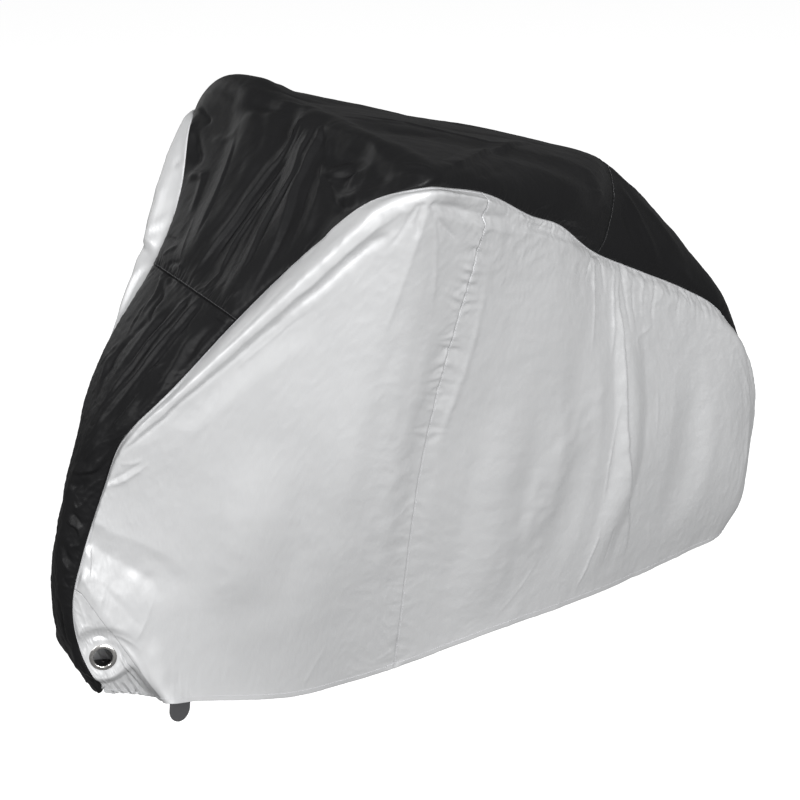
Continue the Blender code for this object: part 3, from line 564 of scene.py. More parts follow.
STRIP_CREASES = (
    # long folds that hang from the crest down the front, gentle on their far flanks and steep on their near
    ("soft", 4.0, (14, 20), "both",
     (43.4, 0.36), (41.0, 0.25), (38.5, 0.18), (36.7, 0.17), (35.3, 0.20), (33.6, 0.11)),
    ("soft", -2.6, (12, 14), "both", (41.6, 0.15), (39.4, 0.11), (37.0, 0.09), (34.8, 0.12)),
    ("lap_left", 5.2, (7, 11), "last",
     (45.2, -0.03), (43.8, -0.01), (41.4, 0.0), (39.2, 0.02), (36.8, 0.01), (34.3, 0.02), (32.0, 0.05)),
    ("sharp", -3.4, (4, 6), "last",
     (45.2, -0.07), (42.4, -0.08), (39.5, -0.07), (37.2, -0.07), (35.2, -0.09), (32.8, -0.20)),
    ("lap_left", 5.4, (6, 12), "both",
     (42.6, -0.13), (40.0, -0.14), (37.6, -0.15), (36.0, -0.19), (34.4, -0.31), (32.6, -0.46)),
    ("soft", -3.4, (6, 12), "both",
     (40.0, -0.21), (38.1, -0.23), (36.8, -0.31), (35.5, -0.43), (34.1, -0.55), (32.6, -0.66)),
    ("lap_left", 4.2, (5, 8), "last",
     (45.3, -0.10), (43.4, -0.17), (40.8, -0.27), (38.8, -0.34), (37.2, -0.43), (35.6, -0.59), (33.8, -0.76)),
    ("sharp", -2.8, 4, "both",
     (43.6, -0.21), (41.4, -0.29), (39.2, -0.36), (37.6, -0.45), (36.4, -0.56), (35.0, -0.70)),
    ("lap_left", 6.4, (7, 13), "last",
     (45.3, -0.14), (43.8, -0.23), (41.6, -0.31), (39.8, -0.40), (38.1, -0.57), (36.0, -0.77), (33.8, -0.96)),
    ("sharp", -2.0, 5, "both", (41.8, -0.42), (40.0, -0.50), (38.6, -0.66), (37.2, -0.82)),
    ("sharp", 2.4, 5, "last", (44.6, -0.25), (43.6, -0.33), (41.2, -0.51), (39.6, -0.66), (38.2, -0.82)),
    ("soft", 2.0, 9, "both", (41.4, -0.46), (40.0, -0.58), (38.6, -0.76), (37.6, -0.92)),
    ("lap_left", 3.0, 9, "both", (42.0, 0.52), (39.6, 0.44), (36.6, 0.36), (34.4, 0.28)),
    ("sharp", 1.8, 5, "both", (36.2, 0.58), (34.8, 0.46), (33.8, 0.34)),
    # facets between them and the near end of the crest
    ("facet", 7.5, 13, "both", (44.8, -0.08), (45.1, -0.18), (45.3, -0.34), (45.3, -0.54), (45.2, -0.66)),
    ("facet", -6.0, 11, "both", (44.0, -0.26), (43.5, -0.37), (43.7, -0.48), (44.4, -0.58)),
    ("facet", 5.5, 10, "both", (43.2, -0.36), (42.3, -0.45), (42.0, -0.53), (43.0, -0.56), (44.4, -0.58)),
    ("sharp", -3.6, 5, "both", (41.2, -0.50), (41.7, -0.55), (42.6, -0.62), (43.6, -0.66)),
    ("facet", 5.5, 11, "both", (43.2, -0.63), (42.4, -0.70), (41.4, -0.78)),
    ("facet", 6.5, 11, "both", (40.3, -0.66), (41.0, -0.78), (41.7, -0.87), (42.8, -0.94)),
    ("facet", -5.0, 11, "both", (40.0, -0.80), (40.6, -0.88), (41.4, -0.95)),
    ("sharp", -3.8, 5, "both", (41.7, -0.50), (41.2, -0.59), (40.6, -0.72), (40.3, -0.92)),
    ("facet", 4.5, 12, "both", (45.4, -0.48), (45.1, -0.62), (44.9, -0.78), (45.2, -0.92)),
    ("soft", -4.0, 16, "both", (44.0, -0.66), (43.8, -0.78), (43.8, -0.90)),
    ("sharp", 3.2, 6, "both", (44.2, -0.86), (45.2, -0.92), (46.2, -0.97)),
    ("sharp", 2.8, 5, "both", (44.8, -0.80), (45.8, -0.87), (46.8, -0.95)),
    # over and behind the crest
    ("facet", 9.0, 20, "both",
     (42.8, 0.60), (43.6, 0.38), (44.5, 0.19), (45.0, 0.07), (45.1, -0.06), (45.2, -0.16)),
    ("soft", -3.0, 9, "both", (44.0, 0.52), (44.6, 0.35), (45.0, 0.20), (45.6, 0.06)),
    ("facet", 3.2, 6, "both",
     (44.6, 0.72), (45.1, 0.51), (45.4, 0.36), (45.7, 0.22), (46.4, 0.06), (48.2, -0.07)),
    ("sharp", 2.0, 4, "both", (44.5, 0.60), (45.0, 0.39), (45.2, 0.22), (45.6, 0.08)),
    ("sharp", -1.8, 4, "both", (45.2, 0.60), (45.5, 0.38), (46.0, 0.20), (47.2, 0.04)),
    ("facet", 2.5, 6, "both", (47.2, -0.05), (50.6, -0.14), (55.3, -0.08)),
    ("soft", -2.8, 9, "both", (45.7, 0.72), (45.9, 0.52), (46.4, 0.38), (48.7, 0.34), (51.6, 0.32)),
    ("soft", 2.2, 9, "both", (44.2, 0.96), (44.3, 0.80), (44.0, 0.64), (43.4, 0.46)),
    # at the far end of the crest
    ("sharp", -3.0, 4, "both", (43.4, 0.94), (42.5, 0.87), (41.9, 0.82), (41.2, 0.89)),
    ("sharp", 2.4, 4, "both", (42.9, 0.97), (42.6, 0.93), (42.2, 0.90)),
    ("soft", 2.4, 8, "both", (40.5, 0.78), (40.7, 0.62), (41.8, 0.47)),
    ("soft", -7.0, 12, "both", (41.0, 0.96), (39.6, 0.89), (38.5, 0.80)),
    ("facet", 4.8, 7, "both", (38.0, 0.93), (38.15, 0.78), (38.2, 0.62)),
    ("facet", 3.2, 7, "last", (38.3, 0.70), (37.1, 0.66), (35.8, 0.64)),
    ("sharp", -3.0, 5, "both", (34.7, 0.92), (34.6, 0.76), (34.5, 0.58)),
    ("sharp", 2.8, 4, "both", (33.5, 0.80), (34.0, 0.69), (34.5, 0.52)),
    # the pinch in the far half of the front cross seam, and what runs down from it
    ("sharp", -3.6, 4, "both", (33.3, 0.62), (33.6, 0.48), (33.8, 0.28)),
    ("soft", -3.0, 6, "both", (33.4, 0.62), (32.9, 0.38), (32.6, 0.22)),
    ("sharp", 2.8, 4, "both", (33.9, 0.36), (33.4, 0.27), (32.8, 0.22)),
    ("sharp", -4.2, 4, "both", (32.6, 0.52), (32.1, 0.28), (31.6, 0.25), (31.1, 0.19), (30.8, 0.05)),
    ("lap_right", 3.8, 5, "both", (33.2, 0.66), (32.2, 0.46), (31.2, 0.44), (30.0, 0.36)),
    ("sharp", 2.4, 4, "both", (31.6, 0.51), (30.5, 0.48), (29.6, 0.39)),
    ("soft", -3.4, (6, 9), "last", (30.9, 0.16), (29.9, 0.25), (28.9, 0.34), (27.8, 0.32), (26.4, 0.25)),
    ("sharp", 2.4, 5, "both", (29.4, 0.48), (28.3, 0.56), (27.4, 0.70)),
    ("soft", 3.2, 8, "both", (28.8, 0.50), (27.6, 0.41), (26.4, 0.20)),
    # the narrow front of the strip: two long ridges, then folds and crumples across it
    ("lap_left", 5.5, (6, 9), "last",
     (33.2, -0.36), (31.8, -0.36), (30.6, -0.34), (29.2, -0.33), (27.7, -0.30), (25.8, -0.24), (23.6, -0.10)),
    ("sharp", -3.2, 4, "both", (33.2, -0.44), (31.9, -0.47), (30.5, -0.47), (28.8, -0.46), (27.0, -0.42)),
    ("lap_left", 4.5, (5, 8), "last",
     (33.0, -0.20), (31.4, -0.16), (30.1, -0.13), (28.6, -0.14), (26.8, -0.12), (25.0, -0.02)),
    ("sharp", -2.8, 4, "both", (32.8, -0.11), (31.0, -0.06), (29.6, -0.07), (27.6, -0.08)),
    ("soft", 3.0, (7, 9), "both", (32.8, 0.03), (31.0, 0.05), (29.2, 0.02), (27.2, 0.05), (25.2, 0.10)),
    ("sharp", 1.8, 4, "last", (33.3, -0.32), (33.9, -0.31), (34.6, -0.34)),
    ("sharp", 1.8, 4, "last", (33.2, -0.76), (33.7, -0.77), (34.4, -0.80)),
    ("sharp", -1.8, 4, "both", (32.6, -0.66), (32.5, -0.82), (32.6, -0.98)),
    ("soft", -3.6, 9, "both", (32.6, -0.96), (31.7, -0.82), (30.8, -0.84), (29.6, -0.91)),
    ("facet", 3.5, 6, "both", (32.0, -0.70), (30.8, -0.70), (29.2, -0.80), (27.6, -0.86)),
    ("sharp", 2.4, 4, "both", (30.0, -0.62), (29.2, -0.49), (28.2, -0.48)),
    ("lap_right", 3.0, 6, "both", (28.4, -0.56), (26.6, -0.58), (24.8, -0.54)),
    ("sharp", 2.4, 4, "both", (24.4, -0.49), (23.0, -0.42), (21.8, -0.32)),
    ("sharp", 2.2, 4, "both", (23.7, -0.84), (22.6, -0.74), (21.3, -0.58)),
    ("lap_right", 5.8, 7, "both",
     (20.4, 0.12), (20.7, -0.15), (21.0, -0.42), (21.4, -0.66), (22.4, -0.78), (23.6, -0.86)),
    ("soft", -4.4, 8, "both", (19.4, 0.02), (19.6, -0.24), (19.9, -0.48), (20.6, -0.66)),
    ("sharp", 3.0, 5, "both", (18.7, -0.24), (18.1, -0.48), (18.8, -0.67), (20.2, -0.80)),
    ("sharp", 2.0, 4, "both", (20.9, -0.93), (20.0, -0.72), (19.0, -0.50)),
    ("lap_right", 4.8, 5, "both",
     (16.9, -0.16), (16.8, -0.42), (16.7, -0.64), (16.1, -0.75), (14.8, -0.54)),
    ("sharp", -2.8, 4, "both", (17.6, -0.30), (17.4, -0.54), (17.0, -0.78)),
    ("sharp", 2.4, 5, "both", (15.1, -0.48), (15.5, -0.66), (15.9, -0.90)),
    ("soft", -3.6, 6, "both", (15.6, -0.25), (14.8, -0.42), (14.4, -0.62), (14.5, -0.84)),
    ("sharp", 2.6, 5, "both", (14.3, -0.28), (13.9, -0.50), (13.4, -0.72)),
    ("sharp", -2.0, 4, "both", (13.2, -0.40), (12.5, -0.66), (12.0, -0.94)),
    ("sharp", -3.0, 4, "both", (10.9, -0.34), (9.6, -0.44), (8.2, -0.42), (6.0, -0.44)),
    ("sharp", 2.2, 4, "both", (11.2, -0.60), (9.4, -0.64), (7.4, -0.58)),
    ("sharp", -2.8, 4, "both", (5.4, -0.70), (3.0, -0.76), (0.8, -0.66)),
    ("sharp", 2.2, 4, "both", (5.4, -0.44), (3.6, -0.54), (1.4, -0.46)),
    ("sharp", 1.8, 3, "last", (0.2, 0.20), (1.8, 0.05), (4.6, 0.10)),
    ("sharp", -1.8, 3, "last", (0.2, -0.05), (2.0, -0.14), (4.4, -0.10)),
    # along the back: a long fold from the pinch in the near seam, and shallow creases
    ("lap_right", 8.0, (8, 13), "both",
     (46.2, -0.96), (48.2, -0.92), (51.8, -0.80), (56.6, -0.52), (60.6, -0.22), (63.4, 0.02)),
    ("soft", -3.2, 10, "both", (47.4, -0.99), (49.4, -0.97), (51.8, -0.92), (55.0, -0.80), (58.2, -0.62)),
    ("soft", -2.4, 10, "both", (49.4, -0.28), (51.6, -0.30), (55.4, -0.31)),
    ("facet", 2.0, 9, "both", (48.4, 0.78), (48.9, 0.60), (48.5, 0.44)),
    ("lap_right", 2.8, 9, "both", (48.8, 0.02), (54.8, -0.16), (60.5, -0.44)),
    ("facet", 2.0, 10, "both", (50.0, 0.32), (57.0, 0.30), (65.0, 0.16)),
    ("facet", -1.8, 9, "both", (52.0, -0.10), (59.0, -0.05), (67.0, -0.10)),
    ("facet", 1.8, 8, "both", (60.0, 0.62), (65.0, 0.50), (69.6, 0.44)),
    ("lap_left", 2.8, 9, "both", (62.0, -0.72), (66.5, -0.62), (70.6, -0.60)),
    ("sharp", 2.6, 5, "last", (57.6, -0.998), (59.0, -0.93), (60.8, -0.88)),
    ("sharp", 2.6, 5, "last", (62.0, -0.998), (64.2, -0.94), (66.0, -0.90)),
    ("sharp", -2.2, 4, "last", (64.0, -0.998), (66.0, -0.95), (68.0, -0.92)),
    ("sharp", 2.4, 5, "last", (66.0, -0.998), (67.6, -0.95), (69.4, -0.93)),
    # behind the rear cross seam
    ("facet", 4.8, 9, "both", (70.6, -0.24), (71.7, -0.35), (72.9, -0.55), (75.2, -0.80), (77.0, -0.97)),
    ("facet", -3.8, 6, "both", (70.8, -0.42), (71.8, -0.62), (74.0, -0.90)),
    ("soft", 2.6, 12, "both", (72.4, -0.24), (75.6, -0.48), (79.0, -0.76)),
    ("soft", 2.4, 10, "both", (76.2, -0.74), (79.3, -0.88), (81.8, -0.97)),
    ("facet", 2.2, 6, "last", (70.2, -0.10), (73.0, -0.12), (77.5, -0.06)),
    ("facet", -2.2, 6, "last", (70.2, 0.20), (73.5, 0.18), (78.0, 0.24)),
    ("facet", 2.5, 7, "last", (70.2, 0.62), (73.0, 0.52), (77.0, 0.40)),
    ("soft", -2.4, 14, "both", (77.0, -0.40), (80.0, -0.34), (84.0, -0.50)),
    ("soft", 2.2, 14, "both", (80.0, 0.30), (85.0, 0.10), (90.0, 0.30)),
    ("facet", 1.8, 6, "both", (84.0, -0.70), (87.5, -0.20), (90.0, 0.10)),
    ("facet", -1.8, 6, "both", (88.0, 0.70), (90.5, 0.20), (93.0, -0.20)),
    ("sharp", 1.4, 5, "both", (93.0, -0.60), (94.6, 0.00), (95.4, 0.60)),
)

# ---------------------------------------------------------------- unevenness of the cloth

rng = np.random.default_rng(26)
SHUFFLE = rng.permutation(256)
SLANTS = unit(rng.normal(size=(256, 3)))
CORNERS = [(x, y, z) for x in (0, 1) for y in (0, 1) for z in (0, 1)]


def ripple(points, size, draw=0):
    """Smooth unevenness from about -1 to 1, with waves about the given size; each draw gives another one."""
    place = points / size + draw * 37.7
    cell = np.floor(place).astype(np.int64)
    inside = place - cell
    ease = inside**3 * (inside * (inside * 6 - 15) + 10)
    total = np.zeros(points.shape[:-1])
    for corner in CORNERS:
        at = (cell + corner) & 255
        mixed = SHUFFLE[(SHUFFLE[at[..., 0]] + at[..., 1]) & 255]
        slant = SLANTS[SHUFFLE[(mixed + at[..., 2]) & 255]]
        weight = np.where(corner, ease, 1 - ease).prod(axis=-1)
        total += weight * ((inside - corner) * slant).sum(axis=-1)
    return total * 1.6


def pressed(points, size, draw=0):
    """Flat facets with sharp edges between them, as in cloth that was kept folded; from -1 to about 0.6."""
    return 0.6 - 2.4 * np.abs(ripple(points, size, draw))


def swells(points, table):
    """Slight unevenness of the whole panel: the sum of the table's rows of height, size and draw."""
    return sum(height * ripple(points, size, draw) for height, size, draw in table)


def shaken(points):
    """The points moved about a little, so that a crease drawn from point to point wanders as a real one."""
    wide = np.stack([ripple(points, 0.060, k) for k in (1, 2, 3)], axis=-1)
    fine = np.stack([ripple(points, 0.017, k) for k in (4, 5, 6)], axis=-1)
    return points + 0.0022 * wide + 0.0007 * fine


# ---------------------------------------------------------------- raising folds and creases

LEG = 7  # points on each leg of a crease
REACH = 3.2  # a crease is raised within this many half-widths of its line
UNEVEN, UNEVEN_SIZE = 0.28, 0.035  # how uneven its height is, and over what length
EDGE, FOOT = 0.004, 0.003  # how far the edge and the feet of a tent are rounded
TIP = 0.12  # how far a sharp crease is rounded
FACET = 1.9  # half-widths that the flank of a facet covers
STEEP, GENTLE = 0.70, 2.4  # and the two flanks of a lap


def crease_line(surface, row):
    """The crease's way in space, and at each point the direction to its left along the cloth."""
    knots = np.asarray(row, float)
    share = np.linspace(0, len(knots) - 1, LEG * (len(knots) - 1) + 1)
    order = np.arange(len(knots), dtype=float)
    stations, places = smooth_through(order, knots, share).T
    stations = np.clip(stations, 0, LAST)
    steps = np.arange(len(share))
    line = surface(stations, places)[steps, steps]
    aside = surface(stations, places + 0.002)[steps, steps] - line
    ahead = surface(stations + 0.02, places)[steps, steps] - line
    return line, np.cross(np.cross(ahead, aside), np.gradient(line, axis=0))


def along_line(points, line, reach):
    """The points within reach of the line: which, how far from it and along it, and on which leg."""
    low, high = line.min(axis=0) - reach, line.max(axis=0) + reach
    near = np.flatnonzero(((points > low) & (points < high)).all(axis=-1).ravel())
    some = points.reshape(-1, 3)[near]
    away = np.full(len(some), np.inf)
    along = np.zeros(len(some))
    leg = np.zeros(len(some), int)
    for k, (start, end) in enumerate(zip(line, line[1:])):
        run = end - start
        share = np.clip((some - start) @ run / (run @ run), 0.0, 1.0)
        gap = np.linalg.norm(some - start - share[:, None] * run, axis=-1)
        better = gap < away
        away[better], along[better], leg[better] = gap[better], k + share[better], k
    keep = away < reach
    return near[keep], away[keep], along[keep] / (len(line) - 1), leg[keep]


def tent(aside):
    """1 in the middle, 0 from 1 outwards, with flat flanks and barely rounded edges."""
    height = 1 - np.sqrt(aside**2 + EDGE)
    return 0.5 * (height + np.sqrt(height**2 + FOOT))


def profile(shape, aside):
    """Height of a crease of height 1 at so many half-widths to its left."""
    if shape == "soft":
        return np.exp(-(aside**2))
    if shape == "sharp":
        return np.exp(1.5 * (TIP - np.sqrt(aside**2 + TIP**2)))
    if shape == "facet":
        return tent(aside / FACET)
    if shape == "lap_right":
        aside = -aside
    return tent(aside / np.where(aside > 0, STEEP, GENTLE))


def fade(ends, along):
    """1 along the crease, easing to 0 at the end or ends where it dies away, and quickly at the other."""
    quick, slow = 0.10, 0.36
    first = eased(along / (quick if ends == "last" else slow))
    last = eased((1 - along) / (quick if ends == "first" else slow))
    return first * last


def creased(points, surface, facing, rows):
    """Height of all the creases in rows. facing is 1 where surface's own normal points outwards."""
    wandered = shaken(points)
    height = np.zeros(points.size // 3)
    for shape, tall, widths, ends, *way in rows:
        narrow, wide = np.broadcast_to(widths, 2) / 1000
        line, left = crease_line(surface, way)
        near, away, along, leg = along_line(wandered, line, REACH * max(narrow, wide))
        if not len(near):
            continue
        some = wandered.reshape(-1, 3)[near]
        side = np.sign(((some - line[leg]) * left[leg]).sum(axis=-1)) * facing
        width = narrow + (wide - narrow) * along
        uneven = 1 + UNEVEN * ripple(some, UNEVEN_SIZE, 7)
        height[near] += tall / 1000 * fade(ends, along) * uneven * profile(shape, side * away / width)
    return height.reshape(points.shape[:-1])


def main_folds(points):
    """Height of the solids' main folds at each point."""
    height = np.zeros(points.size // 3)
    for line, half_width, tall, fades in fold_lines():
        near, away, along, _ = along_line(points, line, half_width)
        tall = tall * fade("both", along) if fades else tall
        height[near] += tall * np.clip(1 - (away / half_width) ** 2, 0, 1) ** 2
    return height.reshape(points.shape[:-1])


# ---------------------------------------------------------------- panels

GROOVE, GROOVE_WIDTH = 0.0011, 0.0028  # how deep a seam sinks between its two cloths, and how wide
TURNED_IN = (0.0022, 0.0065)  # the seam allowance, turned to the inside
SEAM_SPACE = 0.00015  # half the space between the two cloths there
HEM_ROLL, HEM_TURN = 0.0009, 0.013  # radius of a hem's rolled edge, and how far it is turned up inside
NORMAL_BLEND = 0.030  # within this far of the seam the cloth's own direction eases into the seam's

# Puckers along a seam: station, height in metres, how far they reach from the seam
SIDE_PUCKERS = (
    (0, 0.0003, 0.003),
    (12, 0.0005, 0.004),
    (20, 0.0009, 0.006),
    (30, 0.0006, 0.004),
    (44, 0.0008, 0.005),
    (54, 0.0009, 0.006),
    (66, 0.0012, 0.007),
    (71, 0.0022, 0.010),
    (83, 0.0022, 0.010),
    (88, 0.0009, 0.006),
    (100, 0.0006, 0.004),
)
STRIP_PUCKERS = (
    (0, 0.0005, 0.003),
    (20, 0.0006, 0.004),
    (46, 0.0006, 0.005),
    (68, 0.0007, 0.005),
    (72, 0.0012, 0.007),
    (84, 0.0010, 0.006),
    (100, 0.0006, 0.004),
)
CROSS_PUCKER = (0.0010, 0.0060)
JOIN_PUCKER = (0.0024, 0.0110)
# how much less the join seam is puckered low down, from which place on, and over how much this comes in
JOIN_CALM, CALM_FROM, CALM_OVER = 0.75, 0.38, 0.16
# the width of one pucker along each kind of seam
SIDE_PUCKER_SIZE, STRIP_PUCKER_SIZE, CROSS_PUCKER_SIZE, JOIN_PUCKER_SIZE = 0.011, 0.010, 0.009, 0.021

# the hem: station, height of its waves, how far up they reach; and station, width of one wave
HEM_WAVES = (
    (0, 0.0008, 0.010),
    (3, 0.0022, 0.014),
    (10, 0.0026, 0.016),
    (12, 0.0012, 0.016),
    (16, 0.0010, 0.022),
    (100, 0.0012, 0.026),
)
HEM_WAVE_SIZE = ((0, 0.008), (11, 0.009), (15, 0.034), (100, 0.045))

# slight swells all over a panel: height, size, draw
SIDE_SWELLS = ((0.0022, 0.19, 8), (0.0006, 0.07, 9))
STRIP_SWELLS = ((0.0016, 0.12, 58), (0.0006, 0.05, 59))

# creasing all over the cloth: station, height in metres
SIDE_CRUMPLE = (
    (0, 0.0006),
    (11, 0.0004),
    (14, 0.0002),
    (24, 0.0002),
    (44, 0.0003),
    (52, 0.0005),
    (70, 0.0004),
    (100, 0.0005),
)
STRIP_CRUMPLE = (
    (0, 0.0011),
    (12, 0.0013),
    (22, 0.0011),
    (30, 0.0007),
    (34, 0.0004),
    (42, 0.0003),
    (60, 0.0004),
    (72, 0.0006),
    (100, 0.0007),
)


CRUMPLED_BESIDE, CRUMPLED_REACH = 1.6, 0.13  # how much more the sides are crumpled by the seam, how far down
SIDE_STRETCH, STRIP_STRETCH = 1.6, 2.2  # how many times longer than wide the facets are
CRUMPLE_SIZES = (0.034, 0.017, 0.008)  # of the facets, the smaller ones between them, and the finest waves


def near_points(stations, down):
    return side_points(stations, down, -1)


def far_points(stations, down):
    return side_points(stations, down, 1)


def even_lines(surface, ends, edges, cell):
    """Station and place lines that rule the panel into about square cells."""
    stations, places = np.linspace(*ends, ROUGH_LINES[0]), np.linspace(*edges, ROUGH_LINES[1])
    rough = surface(stations, places)
    runs = (
        np.linalg.norm(np.diff(rough, axis=0), axis=-1).mean(axis=1),
        np.linalg.norm(np.diff(rough, axis=1), axis=-1).mean(axis=0),
    )
    ruled = []
    for lines, run in zip((stations, places), runs):
        length = np.concatenate([[0.0], np.cumsum(run)])
        even = np.linspace(0, length[-1], int(np.ceil(length[-1] / cell)) + 1)
        ruled.append(np.interp(even, length, lines))
    return ruled


def run_lengths(grid, axis):
    """Distance along the cloth of every grid point from the first and the last line across that axis."""
    steps = np.linalg.norm(np.diff(grid, axis=axis), axis=-1)
    first = np.insert(np.cumsum(steps, axis=axis), 0, 0.0, axis=axis)
    last = first.take([-1], axis=axis) - first
    return first, last


def eased(share):
    share = np.clip(share, 0.0, 1.0)
    return share * share * (3 - 2 * share)


def puckers(flat, foot, away, height, reach, size, draw):
    """Height of the short puckers across a seam. foot is the seam's point beside each grid point."""
    away, height, reach = (np.broadcast_to(v, flat.shape[:2]) for v in (away, height, reach))
    near = away < PUCKER_REACH * reach
    way = unit(np.gradient(foot, axis=0 if foot.shape[1] == 1 else 1))
    foot, way = (np.broadcast_to(v, flat.shape)[near] for v in (foot, way))
    away, height, reach = away[near], height[near], reach[near]
    lean = ripple(foot, 0.035, draw + 1)
    drifted = foot + way * (away * lean)[..., None]
    bumps = pressed(drifted, size, draw) + 0.6 * ripple(drifted, size * 0.55, draw + 2)
    reach = reach * (1 + 0.5 * ripple(foot, 0.02, draw + 3))
    total = np.zeros(flat.shape[:2])
    total[near] = height * bumps * (away / reach) * np.exp(1 - away / reach)
    return total


def with_line(grid, normals, axis, end, offset):
    """Grid and normals with one more line, moved by offset from the first (end 0) or the last (end -1)."""
    edge, facing = grid.take([end], axis=axis) + offset, normals.take([end], axis=axis)
    order = slice(None) if end else slice(None, None, -1)
    return tuple(np.concatenate([a, b][order], axis=axis) for a, b in ((grid, edge), (normals, facing)))


def turned_in(grid, normals, axis, end, inwards):
    """A seam allowance along one edge."""
    own = unit(grid.take([1 if end == 0 else -2], axis=axis) - grid.take([end], axis=axis))
    done = 0.0
    for depth in TURNED_IN:
        step = (depth - done) * inwards + (SEAM_SPACE if done == 0.0 else 0.0) * own
        grid, normals = with_line(grid, normals, axis, end, step)
        done = depth
    return grid, normals


def hemmed(grid, normals, axis, end):
    """A rolled hem: the edge turns round and lies against the inside of the cloth."""
    out = unit(grid.take([end], axis=axis) - grid.take([1 if end == 0 else -2], axis=axis))
    inwards = -normals.take([end], axis=axis)
    before = 0 * out
    turns = [(sin(turn), 1 - cos(turn)) for turn in radians(45) * np.arange(1, 5)]
    ways = [HEM_ROLL * (a * out + b * inwards) for a, b in turns]
    ways += [2 * HEM_ROLL * inwards - up * HEM_TURN * out for up in (0.35, 1.0)]
    for way in ways:
        grid, normals = with_line(grid, normals, axis, end, way - before)
        before = way
    return grid, normals


def eyelet_place(side):
    """Middle of the eyelet on the outer face of the flap, and the direction it looks in."""
    stations, down = np.array([EYELET_STATION]), np.array([EYELET_DEPTH])
    middle = side_points(stations, down, side)[0, 0]
    looks = side_normals(stations, down, side)[0, 0] + np.array([0.0, 0.0, EYELET_LIFT])
    return middle, unit(looks)


def flatten_round_eyelet(grid, normals, side):
    middle, looks = eyelet_place(side)
    away = np.linalg.norm(grid - middle, axis=-1)
    share = eased((BLEND_ZONE - away) / (BLEND_ZONE - FLAT_ZONE))[..., None]
    height = ((grid - middle) @ looks)[..., None]
    return grid - share * height * looks, unit(normals * (1 - share) + looks * share)


def to_row_frame(points):
    """From the upright frame to the row's: leaned, and with the underside of the crest at the origin."""
    x, z = rail(SPINE, [CREST])[0]
    lean = np.array([[1, 0, 0], [0, cos(LEAN), -sin(LEAN)], [0, sin(LEAN), cos(LEAN)]])
    return points @ lean.T - np.array([x, 0.0, z - CLOTH]) @ lean.T


def sheet_object(name, grid, material, facing, drop=None):
    """A mesh of the grid's quads, with its sizes along both directions as the UV map, in metres."""
    rows, columns = grid.shape[:2]
    index = np.arange(rows * columns).reshape(rows, columns)
    quads = np.stack([index[:-1, :-1], index[1:, :-1], index[1:, 1:], index[:-1, 1:]], axis=-1)
    quads = quads.reshape(-1, 4)
    down_rows = run_lengths(grid, 0)[0].mean(axis=1, keepdims=True) + 0.0 * index
    runs = np.stack([down_rows, run_lengths(grid, 1)[0]], -1)
    points, runs = to_row_frame(grid).reshape(-1, 3), runs.reshape(-1, 2)
    if drop is not None:
        quads = quads[~drop.ravel()[quads].any(axis=1)]
        kept, quads = np.unique(quads, return_inverse=True)
        points, runs, quads = points[kept], runs[kept], quads.reshape(-1, 4)
    mesh = bpy.data.meshes.new(name)
    mesh.from_pydata(points.tolist(), [], quads[:, ::facing].tolist())
    corners = np.empty(len(mesh.loops), np.int32)
    mesh.loops.foreach_get("vertex_index", corners)
    mesh.uv_layers.new(name="cloth").data.foreach_set("uv", runs[corners].ravel())
    return placed(name, mesh, material)


def placed(name, mesh, material):
    mesh.shade_smooth()
    mesh.materials.append(material)
    thing = bpy.data.objects.new(name, mesh)
    bpy.context.scene.collection.objects.link(thing)
    return thing


# Size of a cell of each panel's grid. The near side and the front are seen closest.
CELLS = {
    "black_front": 0.00190,
    "black_top": 0.00320,
    "black_rear": 0.00320,
    "flap_near": 0.00105,
    "flap_far": 0.00170,
    "side_front_near": 0.00255,
    "side_front_far": 0.00370,
    "side_rear_near": 0.00295,
    "side_rear_far": 0.00430,
}
ROUGH_LINES = (240, 160)  # the lines by which a panel is measured before it is ruled
PUCKER_REACH = 6  # a pucker is raised within this many times its reach of the seam
HOLE_SPARE = 0.0004  # how much wider than the barrel the hole in the cloth is
EYELET_CALM, EYELET_RIM = 0.012, 0.001  # the cloth is smooth over this width, from this rim on
SEWN_CALM = 0.007  # creases come up from nothing over this width beside the seam


def by_station(table, stations):
    rows = np.asarray(table, float)
    return [np.interp(stations, rows[:, 0], column)[:, None] for column in rows[:, 1:].T]


def ruled_lengths(surface, stations, flat):
    """Lengths along and across the cloth, which run on from one panel into the next."""
    knots = np.linspace(0, LAST, 401)
    length = lengths_along(surface(knots, np.array([0.0]))[:, 0])
    along = np.interp(stations, knots, length)[:, None] + np.zeros(flat.shape[:2])
    return along, run_lengths(flat, 1)[0]


def crumpled(along, across, height, stretch, draw):
    """Creasing all over, with facets that are longer along the cloth than across it."""
    coarse = np.stack([along / stretch, across, 0 * along + 0.5], axis=-1)
    fine = np.stack([along, across * 1.2 + along * 0.3, 0 * along + 0.9], axis=-1)
    large, small, finest = CRUMPLE_SIZES
    facets = pressed(coarse, large, draw) + 0.45 * pressed(fine, small, draw + 1)
    return height * (facets + 0.3 * ripple(fine, finest, draw + 2))


def clear_of_eyelets(flat):
    clear = 1.0
    for side in (-1, 1):
        middle, _ = eyelet_place(side)
        away = np.linalg.norm(flat - middle, axis=-1)
        clear = clear * eased((away - EYELET_OUTER - EYELET_RIM) / EYELET_CALM)
    return clear


def seam_height(flat, stations, axis, end, table, size, draw):
    """Puckers along one edge of a panel."""
    foot = flat.take([end], axis=axis)
    away = run_lengths(flat, axis)[end]
    height, reach = by_station(table, stations) if axis == 1 else table
    return puckers(flat, foot, away, height, reach, size, draw)


def groove(grid, away, inwards):
    return grid + inwards * (GROOVE * np.exp(-((away / GROOVE_WIDTH) ** 2)))[..., None]


